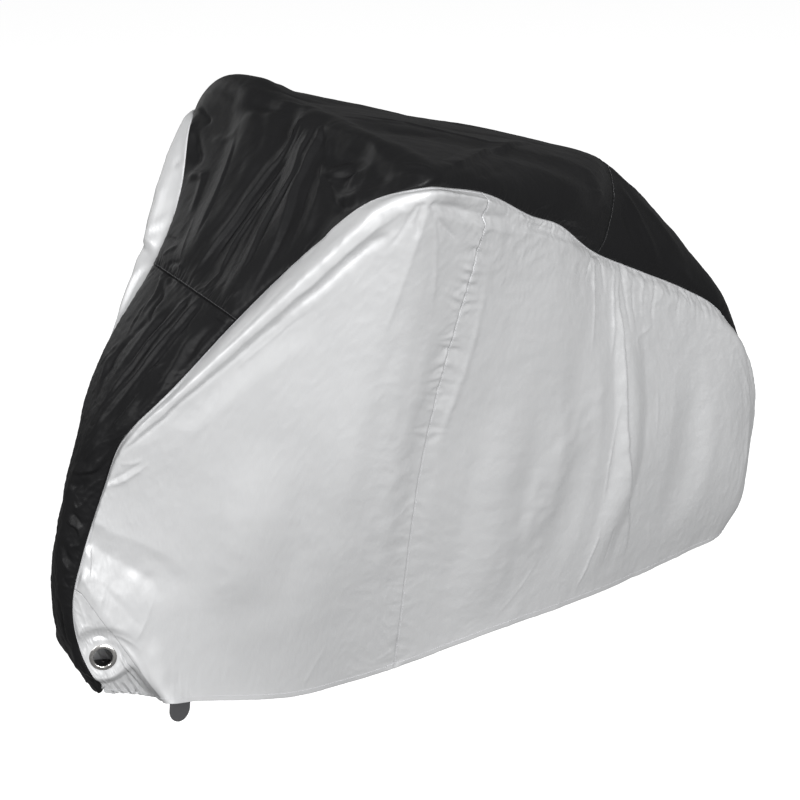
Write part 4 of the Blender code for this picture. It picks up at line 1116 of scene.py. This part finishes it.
def finished_ends(grid, lift, start, end):
    """Both ends of a panel: hemmed where the cover ends, turned in where the next panel is sewn on."""
    for station, at in ((start, 0), (end, -1)):
        if station in (0.0, LAST):
            grid, lift = hemmed(grid, lift, 0, at)
        else:
            grid, lift = turned_in(grid, lift, 0, at, -lift.take([at], axis=0))
    return grid, lift


sewn_panels = {}  # grid and outward directions of each panel, before its edges are turned in


def silver_panel(name, start, end, side, material):
    """A piece of a silver side between two stations."""
    surface = near_points if side < 0 else far_points
    cell = CELLS[name] * 1.0
    stations, places = even_lines(surface, (start, end), (0.0, 1.0), cell)
    flat = surface(stations, places)
    normals = side_normals(stations, places, side)
    seam = seam_normals(stations, side)[:, None]
    from_seam, to_hem = run_lengths(flat, 1)
    ease = eased(from_seam / NORMAL_BLEND)[..., None]
    lift = unit(normals * ease + seam * (1 - ease))
    grid = flat + main_folds(flat)[..., None] * lift
    grid, lift = flatten_round_eyelet(grid, lift, side)

    height = creased(flat, surface, side, (NEAR_CREASES if side < 0 else FAR_CREASES) + FLAP_CREASES)
    height += swells(flat, SIDE_SWELLS)
    along, across = ruled_lengths(surface, stations, flat)
    beside = 1 + CRUMPLED_BESIDE * np.exp(-((from_seam / CRUMPLED_REACH) ** 2))
    crumple = by_station(SIDE_CRUMPLE, stations)[0] * beside
    height += crumpled(along, across, crumple, SIDE_STRETCH, 10 if side < 0 else 20)
    height *= eased(from_seam / SEWN_CALM)
    height += seam_height(flat, stations, 1, 0, SIDE_PUCKERS, SIDE_PUCKER_SIZE, 30)
    for station, at in ((start, 0), (end, -1)):
        if station == JOIN_SEAM:
            calm = 1 - JOIN_CALM * eased((places - CALM_FROM) / CALM_OVER)
            height += calm * seam_height(flat, stations, 0, at, JOIN_PUCKER, JOIN_PUCKER_SIZE, 40)
    height += hem_waves(flat, stations, to_hem)
    height *= clear_of_eyelets(flat)
    grid = grid + lift * height[..., None]
    grid = groove(grid, from_seam, -seam)
    sewn_panels[name] = grid, lift

    grid, lift = turned_in(grid, lift, 1, 0, -seam)
    grid, lift = hemmed(grid, lift, 1, -1)
    grid, lift = finished_ends(grid, lift, start, end)
    hole = None
    if start < EYELET_STATION < end:
        middle, looks = eyelet_place(side)
        off_axis = grid - middle - ((grid - middle) @ looks)[..., None] * looks
        hole = np.linalg.norm(off_axis, axis=-1) < EYELET_HOLE + EYELET_BARREL + HOLE_SPARE
    return sheet_object(name, grid, material, side, hole)


def hem_waves(flat, stations, to_hem):
    """The gathered hem of the flap, and the slight waves of the long hem."""
    height, reach = by_station(HEM_WAVES, stations)
    (size,) = by_station(HEM_WAVE_SIZE, stations)
    foot = flat[:, -1:]
    steps = np.linalg.norm(np.diff(foot[:, 0], axis=0), axis=-1) / size[1:, 0]
    length = np.concatenate([[0.0], np.cumsum(steps)])
    drift = 0.35 * ripple(flat, 0.03, 51)
    beat = np.stack([length[:, None] + drift, 0 * drift + 0.3, 0 * drift + 0.7], axis=-1)
    return height * (0.35 + ripple(beat, 1.0, 50)) * np.exp(-to_hem / reach)


def black_panel(name, start, end, material):
    """A piece of the black strip between two stations."""
    cell = CELLS[name] * 1.0
    stations, places = even_lines(strip_points, (start, end), (-1.0, 1.0), cell)
    flat = strip_points(stations, places)
    lift = strip_normals(stations, places)
    from_near, to_far = run_lengths(flat, 1)
    seams = {}
    for side, away in ((-1, from_near), (1, to_far)):
        seams[side] = seam_normals(stations, side)[:, None]
        ease = eased(away / NORMAL_BLEND)[..., None]
        lift = unit(lift * ease + seams[side] * (1 - ease))
    grid = flat + main_folds(flat)[..., None] * lift
    for side in (-1, 1):
        grid, lift = flatten_round_eyelet(grid, lift, side)

    height = creased(flat, strip_points, 1, STRIP_CREASES)
    height += swells(flat, STRIP_SWELLS)
    along, across = ruled_lengths(strip_points, stations, flat)
    across = across - across[:, -1:] / 2
    height += crumpled(along, across, by_station(STRIP_CRUMPLE, stations)[0], STRIP_STRETCH, 60)
    sewn = eased(np.minimum(from_near, to_far) / SEWN_CALM)
    height *= sewn
    for at, draw in ((0, 70), (-1, 75)):
        height += seam_height(flat, stations, 1, at, STRIP_PUCKERS, STRIP_PUCKER_SIZE, draw)
    for station, at in ((start, 0), (end, -1)):
        if station not in (0.0, LAST):
            height += sewn * seam_height(flat, stations, 0, at, CROSS_PUCKER, CROSS_PUCKER_SIZE, 80)
    height *= clear_of_eyelets(flat)
    grid = grid + lift * height[..., None]
    grid = groove(grid, from_near, -seams[-1])
    grid = groove(grid, to_far, -seams[1])
    for station, at in ((start, 0), (end, -1)):
        if station not in (0.0, LAST):
            grid = groove(grid, run_lengths(flat, 0)[at], -lift.take([at], axis=0))
    sewn_panels[name] = grid, lift

    grid, lift = turned_in(grid, lift, 1, 0, -seams[-1])
    grid, lift = turned_in(grid, lift, 1, -1, -seams[1])
    grid, lift = finished_ends(grid, lift, start, end)
    return sheet_object(name, grid, material, 1)


# ---------------------------------------------------------------- eyelets, elastic bands and tab

EYELET_TURNS = 96
RIBS = 8  # rubber cords across the width of the elastic band


def closed_mesh(name, points, quads, material):
    """A closed mesh from points in the upright frame, with its faces turned outwards."""
    mesh = bpy.data.meshes.new(name)
    mesh.from_pydata(to_row_frame(np.asarray(points)).tolist(), [], [list(quad) for quad in quads])
    work = bmesh.new()
    work.from_mesh(mesh)
    bmesh.ops.recalc_face_normals(work, faces=work.faces)
    work.to_mesh(mesh)
    work.free()
    return placed(name, mesh, material)


def tube_quads(rings, round_, closed_along):
    """Quads of a grid that closes on itself round each ring, and along the rings too if closed_along."""
    quads = []
    for i in range(rings if closed_along else rings - 1):
        for j in range(round_):
            a, b = i * round_ + j, i * round_ + (j + 1) % round_
            c, d = (i + 1) % rings * round_ + (j + 1) % round_, (i + 1) % rings * round_ + j
            quads.append((a, b, c, d))
    if not closed_along:
        quads.append(tuple(range(round_)))
        quads.append(tuple(range((rings - 1) * round_, rings * round_)))
    return quads


def eyelet(name, side, material):
    """A pressed eyelet: domed flange, lip rolled into the bore, barrel, and a washer inside the cloth."""
    middle, looks = eyelet_place(side)
    crown = 2.0 * FLANGE
    under = -CLOTH - 0.0003
    rim, bore = EYELET_OUTER, EYELET_HOLE
    outline = [(rim - 0.0002, 0.0003), (rim, 0.0007), (rim - 0.0003, 0.0012)]
    for turn in np.linspace(0.15, 1.0, 12):
        outline.append((rim - (rim - bore) * 0.62 * turn, 0.0012 + (crown - 0.0010) * sin(pi / 2 * turn)))
    lip = (bore + 0.0016, crown - 0.0013)
    for turn in np.linspace(pi / 2, pi, 7):
        outline.append((lip[0] + 0.0016 * cos(turn), lip[1] + 0.0016 * sin(turn)))
    outline += [(bore, 0.0), (bore + 0.0001, under - 0.0006)]
    for turn in np.linspace(0, pi / 2, 5):
        outline.append((bore + 0.0011 - 0.0010 * cos(turn), under - 0.0006 - 0.0011 * sin(turn)))
    outline += [(rim - 0.0030, under - 0.0014), (rim - 0.0020, under - 0.0009), (rim - 0.0020, under)]
    outline += [(bore + EYELET_BARREL, under), (bore + EYELET_BARREL, 0.0003)]
    outline = np.asarray(outline)
    sideways = unit(np.cross(looks, [0.3, 0.1, 1.0]))
    upwards = np.cross(looks, sideways)
    turn = np.linspace(0, 2 * pi, EYELET_TURNS, endpoint=False)
    spokes = np.cos(turn)[:, None] * sideways + np.sin(turn)[:, None] * upwards
    points = middle + spokes[:, None] * outline[None, :, :1] + outline[None, :, 1:] * looks
    quads = tube_quads(EYELET_TURNS, len(outline), True)
    return closed_mesh(name, points.reshape(-1, 3), quads, material)


def strap(name, line, across, through, half_width, half_thick, ribs, ribs_deep, material):
    """A flat strap: rings of points round it, one for each point of its line, ribbed on both faces."""
    t = np.linspace(0, 2 * pi, 4 * ribs + 24, endpoint=False)
    flat = np.sign(np.cos(t)) * np.abs(np.cos(t)) ** 0.35
    thick = np.sign(np.sin(t)) * np.abs(np.sin(t)) ** 0.35
    ribbed = 1 + ribs_deep / half_thick.max() * np.cos(pi * ribs * flat)
    points = (
        line[:, None]
        + (half_width[:, None] * flat)[..., None] * across[:, None]
        + (half_thick[:, None] * thick * ribbed)[..., None] * through[:, None]
    )
    return closed_mesh(name, points.reshape(-1, 3), tube_quads(len(line), len(t), False), material)


def elastic_band(name, side, material):
    """Ribbed elastic inside the gathered hem of the flap, puckered as it draws the cloth in."""
    stations = np.linspace(BAND_FROM, BAND_TO, 160)
    hem = side_points(stations, np.array([0.9, 1.0]), side)
    looks = side_normals(stations, np.array([0.9, 1.0]), side)[:, 1]
    down = unit(hem[:, 1] - hem[:, 0])
    reach = (BAND_WIDTH - 2 * BAND_SHOWS) / 2
    line = hem[:, 1] - looks * (CLOTH + CLEARANCE + BAND_THICK / 2) - down * reach
    line = line + (0.0003 * ripple(line, 0.006, 90))[:, None] * looks
    ends = np.minimum(np.arange(160), np.arange(159, -1, -1)) / 3
    half = BAND_WIDTH / 2 * (1 + 0.02 * ripple(line, 0.008, 91)) * np.clip(0.82 + 0.18 * ends, 0, 1)
    return strap(name, line, down, looks, half, np.full(160, BAND_THICK / 2), RIBS, 0.00018, material)


def webbing_tab(name, side, material):
    """Webbing tab with a round end, sewn inside the hem and hanging out below it."""
    ends = side_points(np.array([TAB_FROM, TAB_TO]), np.array([0.9, 1.0]), side)
    middle = ends[:, 1].mean(axis=0)
    along = unit(ends[1, 1] - ends[0, 1])
    rise = middle - ends[:, 0].mean(axis=0)
    down = unit(rise - (rise @ along) * along)
    out = np.cross(along, down) * side
    length = TAB_SHOWS + TAB_SEWN
    low = middle - out * TAB_INSET + down * TAB_SHOWS
    straight = np.linspace(length, TAB_END, 26)
    turn = np.linspace(0, pi / 2 * 0.985, 22)[1:]
    up = np.concatenate([straight, TAB_END * (1 - np.sin(turn))])
    half = np.concatenate([np.full(26, TAB_END), TAB_END * np.cos(turn)])
    line = low - up[:, None] * down
    line = line + (0.0006 * ripple(line, 0.020, 95))[:, None] * out
    thick = TAB_THICK / 2 * (0.86 + 0.14 * np.abs(np.cos(up / 0.0016 * pi / 2)))
    rows = len(line)
    across, through = np.broadcast_to(along, (rows, 3)), np.broadcast_to(out, (rows, 3))
    return strap(name, line, across, through, half, thick, 12, 0.00012, material)


# ---------------------------------------------------------------- stitches

STITCH_PITCH, STITCH_LENGTH, STITCH_THICK = 0.0042, 0.0031, 0.00075
STITCH_FROM_SEAM, STITCH_FROM_HEM = 0.0034, 0.0115
STITCH_LIFT = 0.00025  # off the cloth
STITCH_WITHIN = 40  # grid lines from the edge


def stitch_way(panel, axis, end, inset):
    """The line on a sewn panel that lies inset from one of its edges, just off the cloth."""
    grid, lift = sewn_panels[panel]
    if axis == 0:
        grid, lift = grid.transpose(1, 0, 2), lift.transpose(1, 0, 2)
    if end:
        grid, lift = grid[:, ::-1], lift[:, ::-1]
    runs = run_lengths(grid[:, :STITCH_WITHIN], 1)[0]
    line = np.empty((len(grid), 3))
    for k, (run, row, up) in enumerate(zip(runs, grid, lift)):
        j = min(max(int(np.searchsorted(run, inset)), 1), len(run) - 1)
        share = np.clip((inset - run[j - 1]) / (run[j] - run[j - 1]), 0, 1)
        line[k] = row[j - 1] * (1 - share) + row[j] * share + STITCH_LIFT * up[j]
    return to_row_frame(line)


def stitch_tree():
    """Geometry Nodes: short threads laid end to end along the lines of the mesh that it is given."""
    tree = bpy.data.node_groups.new("row of stitches", "GeometryNodeTree")
    face = tree.interface
    face.new_socket("Ways", in_out="INPUT", socket_type="NodeSocketGeometry")
    for title, value in (("Pitch", STITCH_PITCH), ("Length", STITCH_LENGTH), ("Thickness", STITCH_THICK)):
        face.new_socket(title, in_out="INPUT", socket_type="NodeSocketFloat").default_value = value
    face.new_socket("Seed", in_out="INPUT", socket_type="NodeSocketInt").default_value = 5
    face.new_socket("Thread", in_out="INPUT", socket_type="NodeSocketMaterial")
    face.new_socket("Stitches", in_out="OUTPUT", socket_type="NodeSocketGeometry")
    given = tree.nodes.new("NodeGroupInput").outputs
    out = tree.nodes.new("NodeGroupOutput")

    def step(kind, inputs, **settings):
        node = tree.nodes.new(kind)
        for key, value in settings.items():
            setattr(node, key, value)
        for socket, value in inputs.items():
            if isinstance(value, bpy.types.NodeSocket):
                tree.links.new(value, node.inputs[socket])
            else:
                node.inputs[socket].default_value = value
        return node

    lines = step("GeometryNodeMeshToCurve", {"Mesh": given["Ways"]})
    spaced = {"Curve": lines.outputs[0], "Length": given["Pitch"]}
    spots = step("GeometryNodeCurveToPoints", spaced, mode="LENGTH")
    aimed = step("FunctionNodeAlignRotationToVector", {"Vector": spots.outputs["Tangent"]}, axis="Z")
    radius = step("ShaderNodeMath", {0: given["Thickness"], 1: 0.5}, operation="MULTIPLY")
    round_thread = {"Vertices": 6, "Radius": radius.outputs[0], "Depth": given["Length"]}
    thread = step("GeometryNodeMeshCylinder", round_thread)
    smooth = step("GeometryNodeSetShadeSmooth", {"Geometry": thread.outputs["Mesh"]})
    shortest, longest = 0.88, 1.1
    lengths = {2: shortest, 3: longest, "Seed": given["Seed"]}
    uneven = step("FunctionNodeRandomValue", lengths, data_type="FLOAT")
    laid = step(
        "GeometryNodeInstanceOnPoints",
        {
            "Points": spots.outputs["Points"],
            "Instance": smooth.outputs[0],
            "Rotation": aimed.outputs[0],
            "Scale": uneven.outputs[1],
        },
    )
    real = step("GeometryNodeRealizeInstances", {"Geometry": laid.outputs[0]})
    dyed = step("GeometryNodeSetMaterial", {"Geometry": real.outputs[0], "Material": given["Thread"]})
    tree.links.new(dyed.outputs[0], out.inputs[0])
    return tree


def stitches(name, ways, thread, tree):
    """The rows of stitches along all the ways, as one mesh."""
    mesh = bpy.data.meshes.new(name)
    points, edges = [], []
    for way in ways:
        edges += [(len(points) + k, len(points) + k + 1) for k in range(len(way) - 1)]
        points += way.tolist()
    mesh.from_pydata(points, edges, [])
    guide = bpy.data.objects.new(name, mesh)
    bpy.context.scene.collection.objects.link(guide)
    sewing = guide.modifiers.new("sewing", "NODES")
    sewing.node_group = tree
    sockets = {item.name: item.identifier for item in tree.interface.items_tree if item.in_out == "INPUT"}
    sewing[sockets["Thread"]] = thread
    shown = guide.evaluated_get(bpy.context.evaluated_depsgraph_get())
    sewn = bpy.data.meshes.new_from_object(shown)
    guide.modifiers.clear()
    guide.data = sewn
    sewn.name = name
    return guide


# ---------------------------------------------------------------- materials


def start_material(name):
    material = bpy.data.materials.new(name)
    material.use_nodes = True
    tree = material.node_tree
    shader = tree.nodes["Principled BSDF"]
    return material, tree, shader


def add(tree, kind, inputs=(), **settings):
    """A node with its settings and inputs; an input is another node's output or a plain value."""
    node = tree.nodes.new(kind)
    for key, value in settings.items():
        setattr(node, key, value)
    for socket, value in dict(inputs).items():
        if isinstance(value, bpy.types.NodeSocket):
            tree.links.new(value, node.inputs[socket])
        else:
            node.inputs[socket].default_value = value
    return node


def blend_colours(tree, share, dark, light):
    node = add(tree, "ShaderNodeMix", data_type="RGBA")
    tree.links.new(share, node.inputs[0])
    node.inputs[6].default_value, node.inputs[7].default_value = (*dark, 1.0), (*light, 1.0)
    return node.outputs[2]


def scaled(tree, value, low, high):
    return add(tree, "ShaderNodeMapRange", {"Value": value, "To Min": low, "To Max": high}).outputs[0]


def weave_height(tree, uv, pitch):
    """Height of a plain weave: threads one way over threads the other way."""
    split = add(tree, "ShaderNodeSeparateXYZ", {0: uv})
    waves = []
    for axis in (0, 1):
        way = {0: split.outputs[axis], 1: 2 * pi / pitch}
        turns = add(tree, "ShaderNodeMath", way, operation="MULTIPLY")
        waves.append(add(tree, "ShaderNodeMath", {0: turns.outputs[0]}, operation="SINE").outputs[0])
    return add(tree, "ShaderNodeMath", {0: waves[0], 1: waves[1]}, operation="MULTIPLY").outputs[0]


def cloth_material(name, dark, light, rough, weave, crinkle, metallic, specular):
    """Coated taffeta: two close tones, fine crinkles, and the weave under the coating."""
    material, tree, shader = start_material(name)
    place = add(tree, "ShaderNodeTexCoord").outputs["Object"]
    uv = add(tree, "ShaderNodeUVMap", uv_map="cloth").outputs[0]
    broad = {"Vector": place, "Scale": 5.0, "Detail": 6.0, "Roughness": 0.6}
    patches = add(tree, "ShaderNodeTexNoise", broad)
    tone = scaled(tree, patches.outputs[0], 0.0, 1.0)
    tree.links.new(blend_colours(tree, tone, dark, light), shader.inputs["Base Color"])
    small = {"Vector": place, "Scale": 38.0, "Detail": 4.0, "Roughness": 0.65}
    wear = add(tree, "ShaderNodeTexNoise", small)
    tree.links.new(scaled(tree, wear.outputs[0], *rough), shader.inputs["Roughness"])
    shader.inputs["Metallic"].default_value = metallic
    shader.inputs["Specular IOR Level"].default_value = specular
    facets = add(
        tree,
        "ShaderNodeTexNoise",
        {"Vector": place, "Scale": 42.0, "Detail": 3.0, "Roughness": 0.5, "Lacunarity": 2.2},
        noise_type="RIDGED_MULTIFRACTAL",
    )
    creases = add(tree, "ShaderNodeBump", {"Height": facets.outputs[0], "Strength": 1.0, "Distance": crinkle})
    grain = add(tree, "ShaderNodeTexNoise", {"Vector": place, "Scale": 900.0, "Detail": 2.0})
    under = add(tree, "ShaderNodeBump", {"Height": grain.outputs[0], "Strength": 0.5, "Distance": 0.00003})
    tree.links.new(creases.outputs[0], under.inputs["Normal"])
    threads = add(tree, "ShaderNodeBump", {"Height": weave_height(tree, uv, weave), "Strength": 0.6})
    threads.inputs["Distance"].default_value = 0.000018
    tree.links.new(under.outputs[0], threads.inputs["Normal"])
    tree.links.new(threads.outputs[0], shader.inputs["Normal"])
    return material


def metal_material(name):
    """Pressed nickel-plated brass: bright, with faint fine marks and a few dull spots."""
    material, tree, shader = start_material(name)
    place = add(tree, "ShaderNodeTexCoord").outputs["Object"]
    dull = add(tree, "ShaderNodeTexNoise", {"Vector": place, "Scale": 160.0, "Detail": 5.0, "Roughness": 0.7})
    colour = blend_colours(tree, dull.outputs[0], (0.55, 0.54, 0.52), (0.82, 0.81, 0.79))
    tree.links.new(colour, shader.inputs["Base Color"])
    tree.links.new(scaled(tree, dull.outputs[0], 0.12, 0.34), shader.inputs["Roughness"])
    shader.inputs["Metallic"].default_value = 1.0
    marks = add(tree, "ShaderNodeTexNoise", {"Vector": place, "Scale": 1400.0, "Detail": 2.0})
    bump = add(tree, "ShaderNodeBump", {"Height": marks.outputs[0], "Strength": 0.35, "Distance": 0.00003})
    tree.links.new(bump.outputs[0], shader.inputs["Normal"])
    return material


def webbing_material(name, tone, fibre):
    """Matt woven yarn: fine twisted fibres in two close tones."""
    material, tree, shader = start_material(name)
    place = add(tree, "ShaderNodeTexCoord").outputs["Object"]
    yarn = add(tree, "ShaderNodeTexNoise", {"Vector": place, "Scale": fibre, "Detail": 4.0, "Roughness": 0.7})
    light = tuple(2.4 * c + 0.012 for c in tone)
    tree.links.new(blend_colours(tree, yarn.outputs[0], tone, light), shader.inputs["Base Color"])
    tree.links.new(scaled(tree, yarn.outputs[0], 0.62, 0.86), shader.inputs["Roughness"])
    shader.inputs["Sheen Weight"].default_value = 0.2
    rows = add(
        tree,
        "ShaderNodeTexVoronoi",
        {"Vector": place, "Scale": fibre * 0.7, "Randomness": 0.75},
        feature="SMOOTH_F1",
    )
    woven = {"Height": rows.outputs["Distance"], "Strength": 0.8, "Distance": 0.00015}
    bump = add(tree, "ShaderNodeBump", woven)
    fuzz = add(tree, "ShaderNodeBump", {"Height": yarn.outputs[0], "Strength": 0.5, "Distance": 0.00006})
    tree.links.new(bump.outputs[0], fuzz.inputs["Normal"])
    tree.links.new(fuzz.outputs[0], shader.inputs["Normal"])
    return material


# ---------------------------------------------------------------- making the cover

WEAVE = 0.00042  # metres over which the weave repeats
silver_cloth = cloth_material(
    "silver_cloth",
    dark=(0.420, 0.423, 0.428),
    light=(0.480, 0.483, 0.488),
    rough=(0.40, 0.52),
    weave=WEAVE,
    crinkle=0.00016,
    metallic=0.3,
    specular=0.5,
)
black_cloth = cloth_material(
    "black_cloth",
    dark=(0.0055, 0.0055, 0.0058),
    light=(0.0080, 0.0080, 0.0085),
    rough=(0.38, 0.47),
    weave=WEAVE,
    crinkle=0.00020,
    metallic=0.0,
    specular=0.10,
)
eyelet_metal = metal_material("eyelet_metal")
black_webbing = webbing_material("black_webbing", (0.012, 0.012, 0.013), 1500.0)
silver_thread = webbing_material("silver_thread", (0.25, 0.25, 0.26), 2600.0)
black_thread = webbing_material("black_thread", (0.012, 0.012, 0.013), 2600.0)

pieces = {
    "black_front": black_panel("black_front", 0.0, FRONT_SEAM, black_cloth),
    "black_top": black_panel("black_top", FRONT_SEAM, REAR_SEAM, black_cloth),
    "black_rear": black_panel("black_rear", REAR_SEAM, LAST, black_cloth),
}
SIDE_PANELS = (("flap", 0.0, FLAP_END), ("side_front", FLAP_END, JOIN_SEAM), ("side_rear", JOIN_SEAM, LAST))
for word, side in (("near", -1), ("far", 1)):
    for panel, start, end in SIDE_PANELS:
        name = f"{panel}_{word}"
        pieces[name] = silver_panel(name, start, end, side, silver_cloth)
    pieces[f"eyelet_{word}"] = eyelet(f"eyelet_{word}", side, eyelet_metal)
    pieces[f"elastic_{word}"] = elastic_band(f"elastic_{word}", side, black_webbing)
pieces["tab_near"] = webbing_tab("tab_near", -1, black_webbing)

needle = stitch_tree()
silver_ways = [stitch_way(f"side_rear_{word}", 0, 0, STITCH_FROM_SEAM) for word in ("near", "far")]
for word in ("near", "far"):
    for panel, _, _ in SIDE_PANELS:
        silver_ways.append(stitch_way(f"{panel}_{word}", 1, 0, STITCH_FROM_SEAM))
        silver_ways.append(stitch_way(f"{panel}_{word}", 1, -1, STITCH_FROM_HEM))
black_ways = [stitch_way(panel, 0, 0, STITCH_FROM_SEAM) for panel in ("black_top", "black_rear")]
silver_stitches = stitches("silver_stitches", silver_ways, silver_thread, needle)
black_stitches = stitches("black_stitches", black_ways, black_thread, needle)

for name, piece in pieces.items():
    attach(piece, "root")
    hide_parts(name)
for piece, slot in ((silver_stitches, "silver_cloth"), (black_stitches, "black_cloth")):
    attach(piece, "root")

# ---------------------------------------------------------------- floor, light and camera

GROUND = to_row_frame(np.zeros((1, 3)))[0, 2]
FLOOR_REACH = 60.0  # from the middle to each edge


def floor():
    """A plain pale floor that shines a little of itself, so that it stays even out to its edges."""
    material, _, shader = start_material("pale_floor")
    shader.inputs["Base Color"].default_value = (0.45, 0.45, 0.45, 1.0)
    shader.inputs["Roughness"].default_value = 0.9
    shader.inputs["Specular IOR Level"].default_value = 0.1
    shader.inputs["Emission Color"].default_value = (1.0, 1.0, 1.0, 1.0)
    shader.inputs["Emission Strength"].default_value = 0.86
    mesh = bpy.data.meshes.new("floor")
    turns = ((-1, -1), (1, -1), (1, 1), (-1, 1))
    corners = [(x * FLOOR_REACH, y * FLOOR_REACH, GROUND) for x, y in turns]
    mesh.from_pydata(corners, [], [(0, 1, 2, 3)])
    mesh.materials.append(material)
    thing = bpy.data.objects.new("floor", mesh)
    # the cloth neither mirrors its brightness nor is lit by it
    thing.visible_glossy = False
    thing.visible_diffuse = False
    bpy.context.scene.collection.objects.link(thing)
    return thing


def lamp(name, place, aim, size, power):
    """A soft box of so many watts at place, turned to aim."""
    light = bpy.data.lights.new(name, "AREA")
    light.shape = "RECTANGLE"
    light.size, light.size_y = size
    light.energy = power
    thing = bpy.data.objects.new(name, light)
    way = Vector(aim) - Vector(place)
    turn = way.to_track_quat("-Z", "Y").to_matrix().to_4x4()
    thing.matrix_world = Matrix.Translation(Vector(place)) @ turn
    bpy.context.scene.collection.objects.link(thing)
    return thing


def studio():
    """Soft white light from four sides."""
    world = bpy.data.worlds.new("studio")
    world.use_nodes = True
    back = world.node_tree.nodes["Background"]
    back.inputs["Color"].default_value = (1.0, 1.0, 1.0, 1.0)
    back.inputs["Strength"].default_value = 0.20
    bpy.context.scene.world = world
    lamp("key", (-4.4, -1.0, 2.2), (0.0, 0.0, -0.5), (2.0, 2.0), 180)
    lamp("fill", (-0.9, -5.6, 1.9), (0.3, 0.0, -0.5), (3.0, 2.0), 660)
    lamp("rim", (-0.9, 4.7, 0.9), (-0.2, 0.0, -0.2), (3.0, 2.0), 24)
    lamp("top", (-1.5, 0.0, 4.0), (-0.2, 0.0, -0.3), (3.0, 3.0), 26)


CAMERA_PLACE = (-1.299, -2.2406, 0.5386)
CAMERA_TURN, CAMERA_HEIGHT = radians(-33.29), radians(22.35)
CAMERA_LENS, CAMERA_SENSOR = 69.19, 36.0


def camera():
    """The camera, to the front and left of the cover and a little above it."""
    data = bpy.data.cameras.new("camera")
    data.lens, data.sensor_width = CAMERA_LENS, CAMERA_SENSOR
    data.clip_end = 200.0
    thing = bpy.data.objects.new("camera", data)
    right = Vector((cos(CAMERA_TURN), sin(CAMERA_TURN), 0.0))
    level = cos(CAMERA_HEIGHT)
    back = Vector((sin(CAMERA_TURN) * level, -cos(CAMERA_TURN) * level, sin(CAMERA_HEIGHT)))
    turn = Matrix((right, back.cross(right), back)).transposed().to_4x4()
    thing.matrix_world = Matrix.Translation(Vector(CAMERA_PLACE)) @ turn
    bpy.context.scene.collection.objects.link(thing)
    bpy.context.scene.camera = thing


floor()
studio()
camera()
bpy.context.scene.view_settings.view_transform = "Standard"
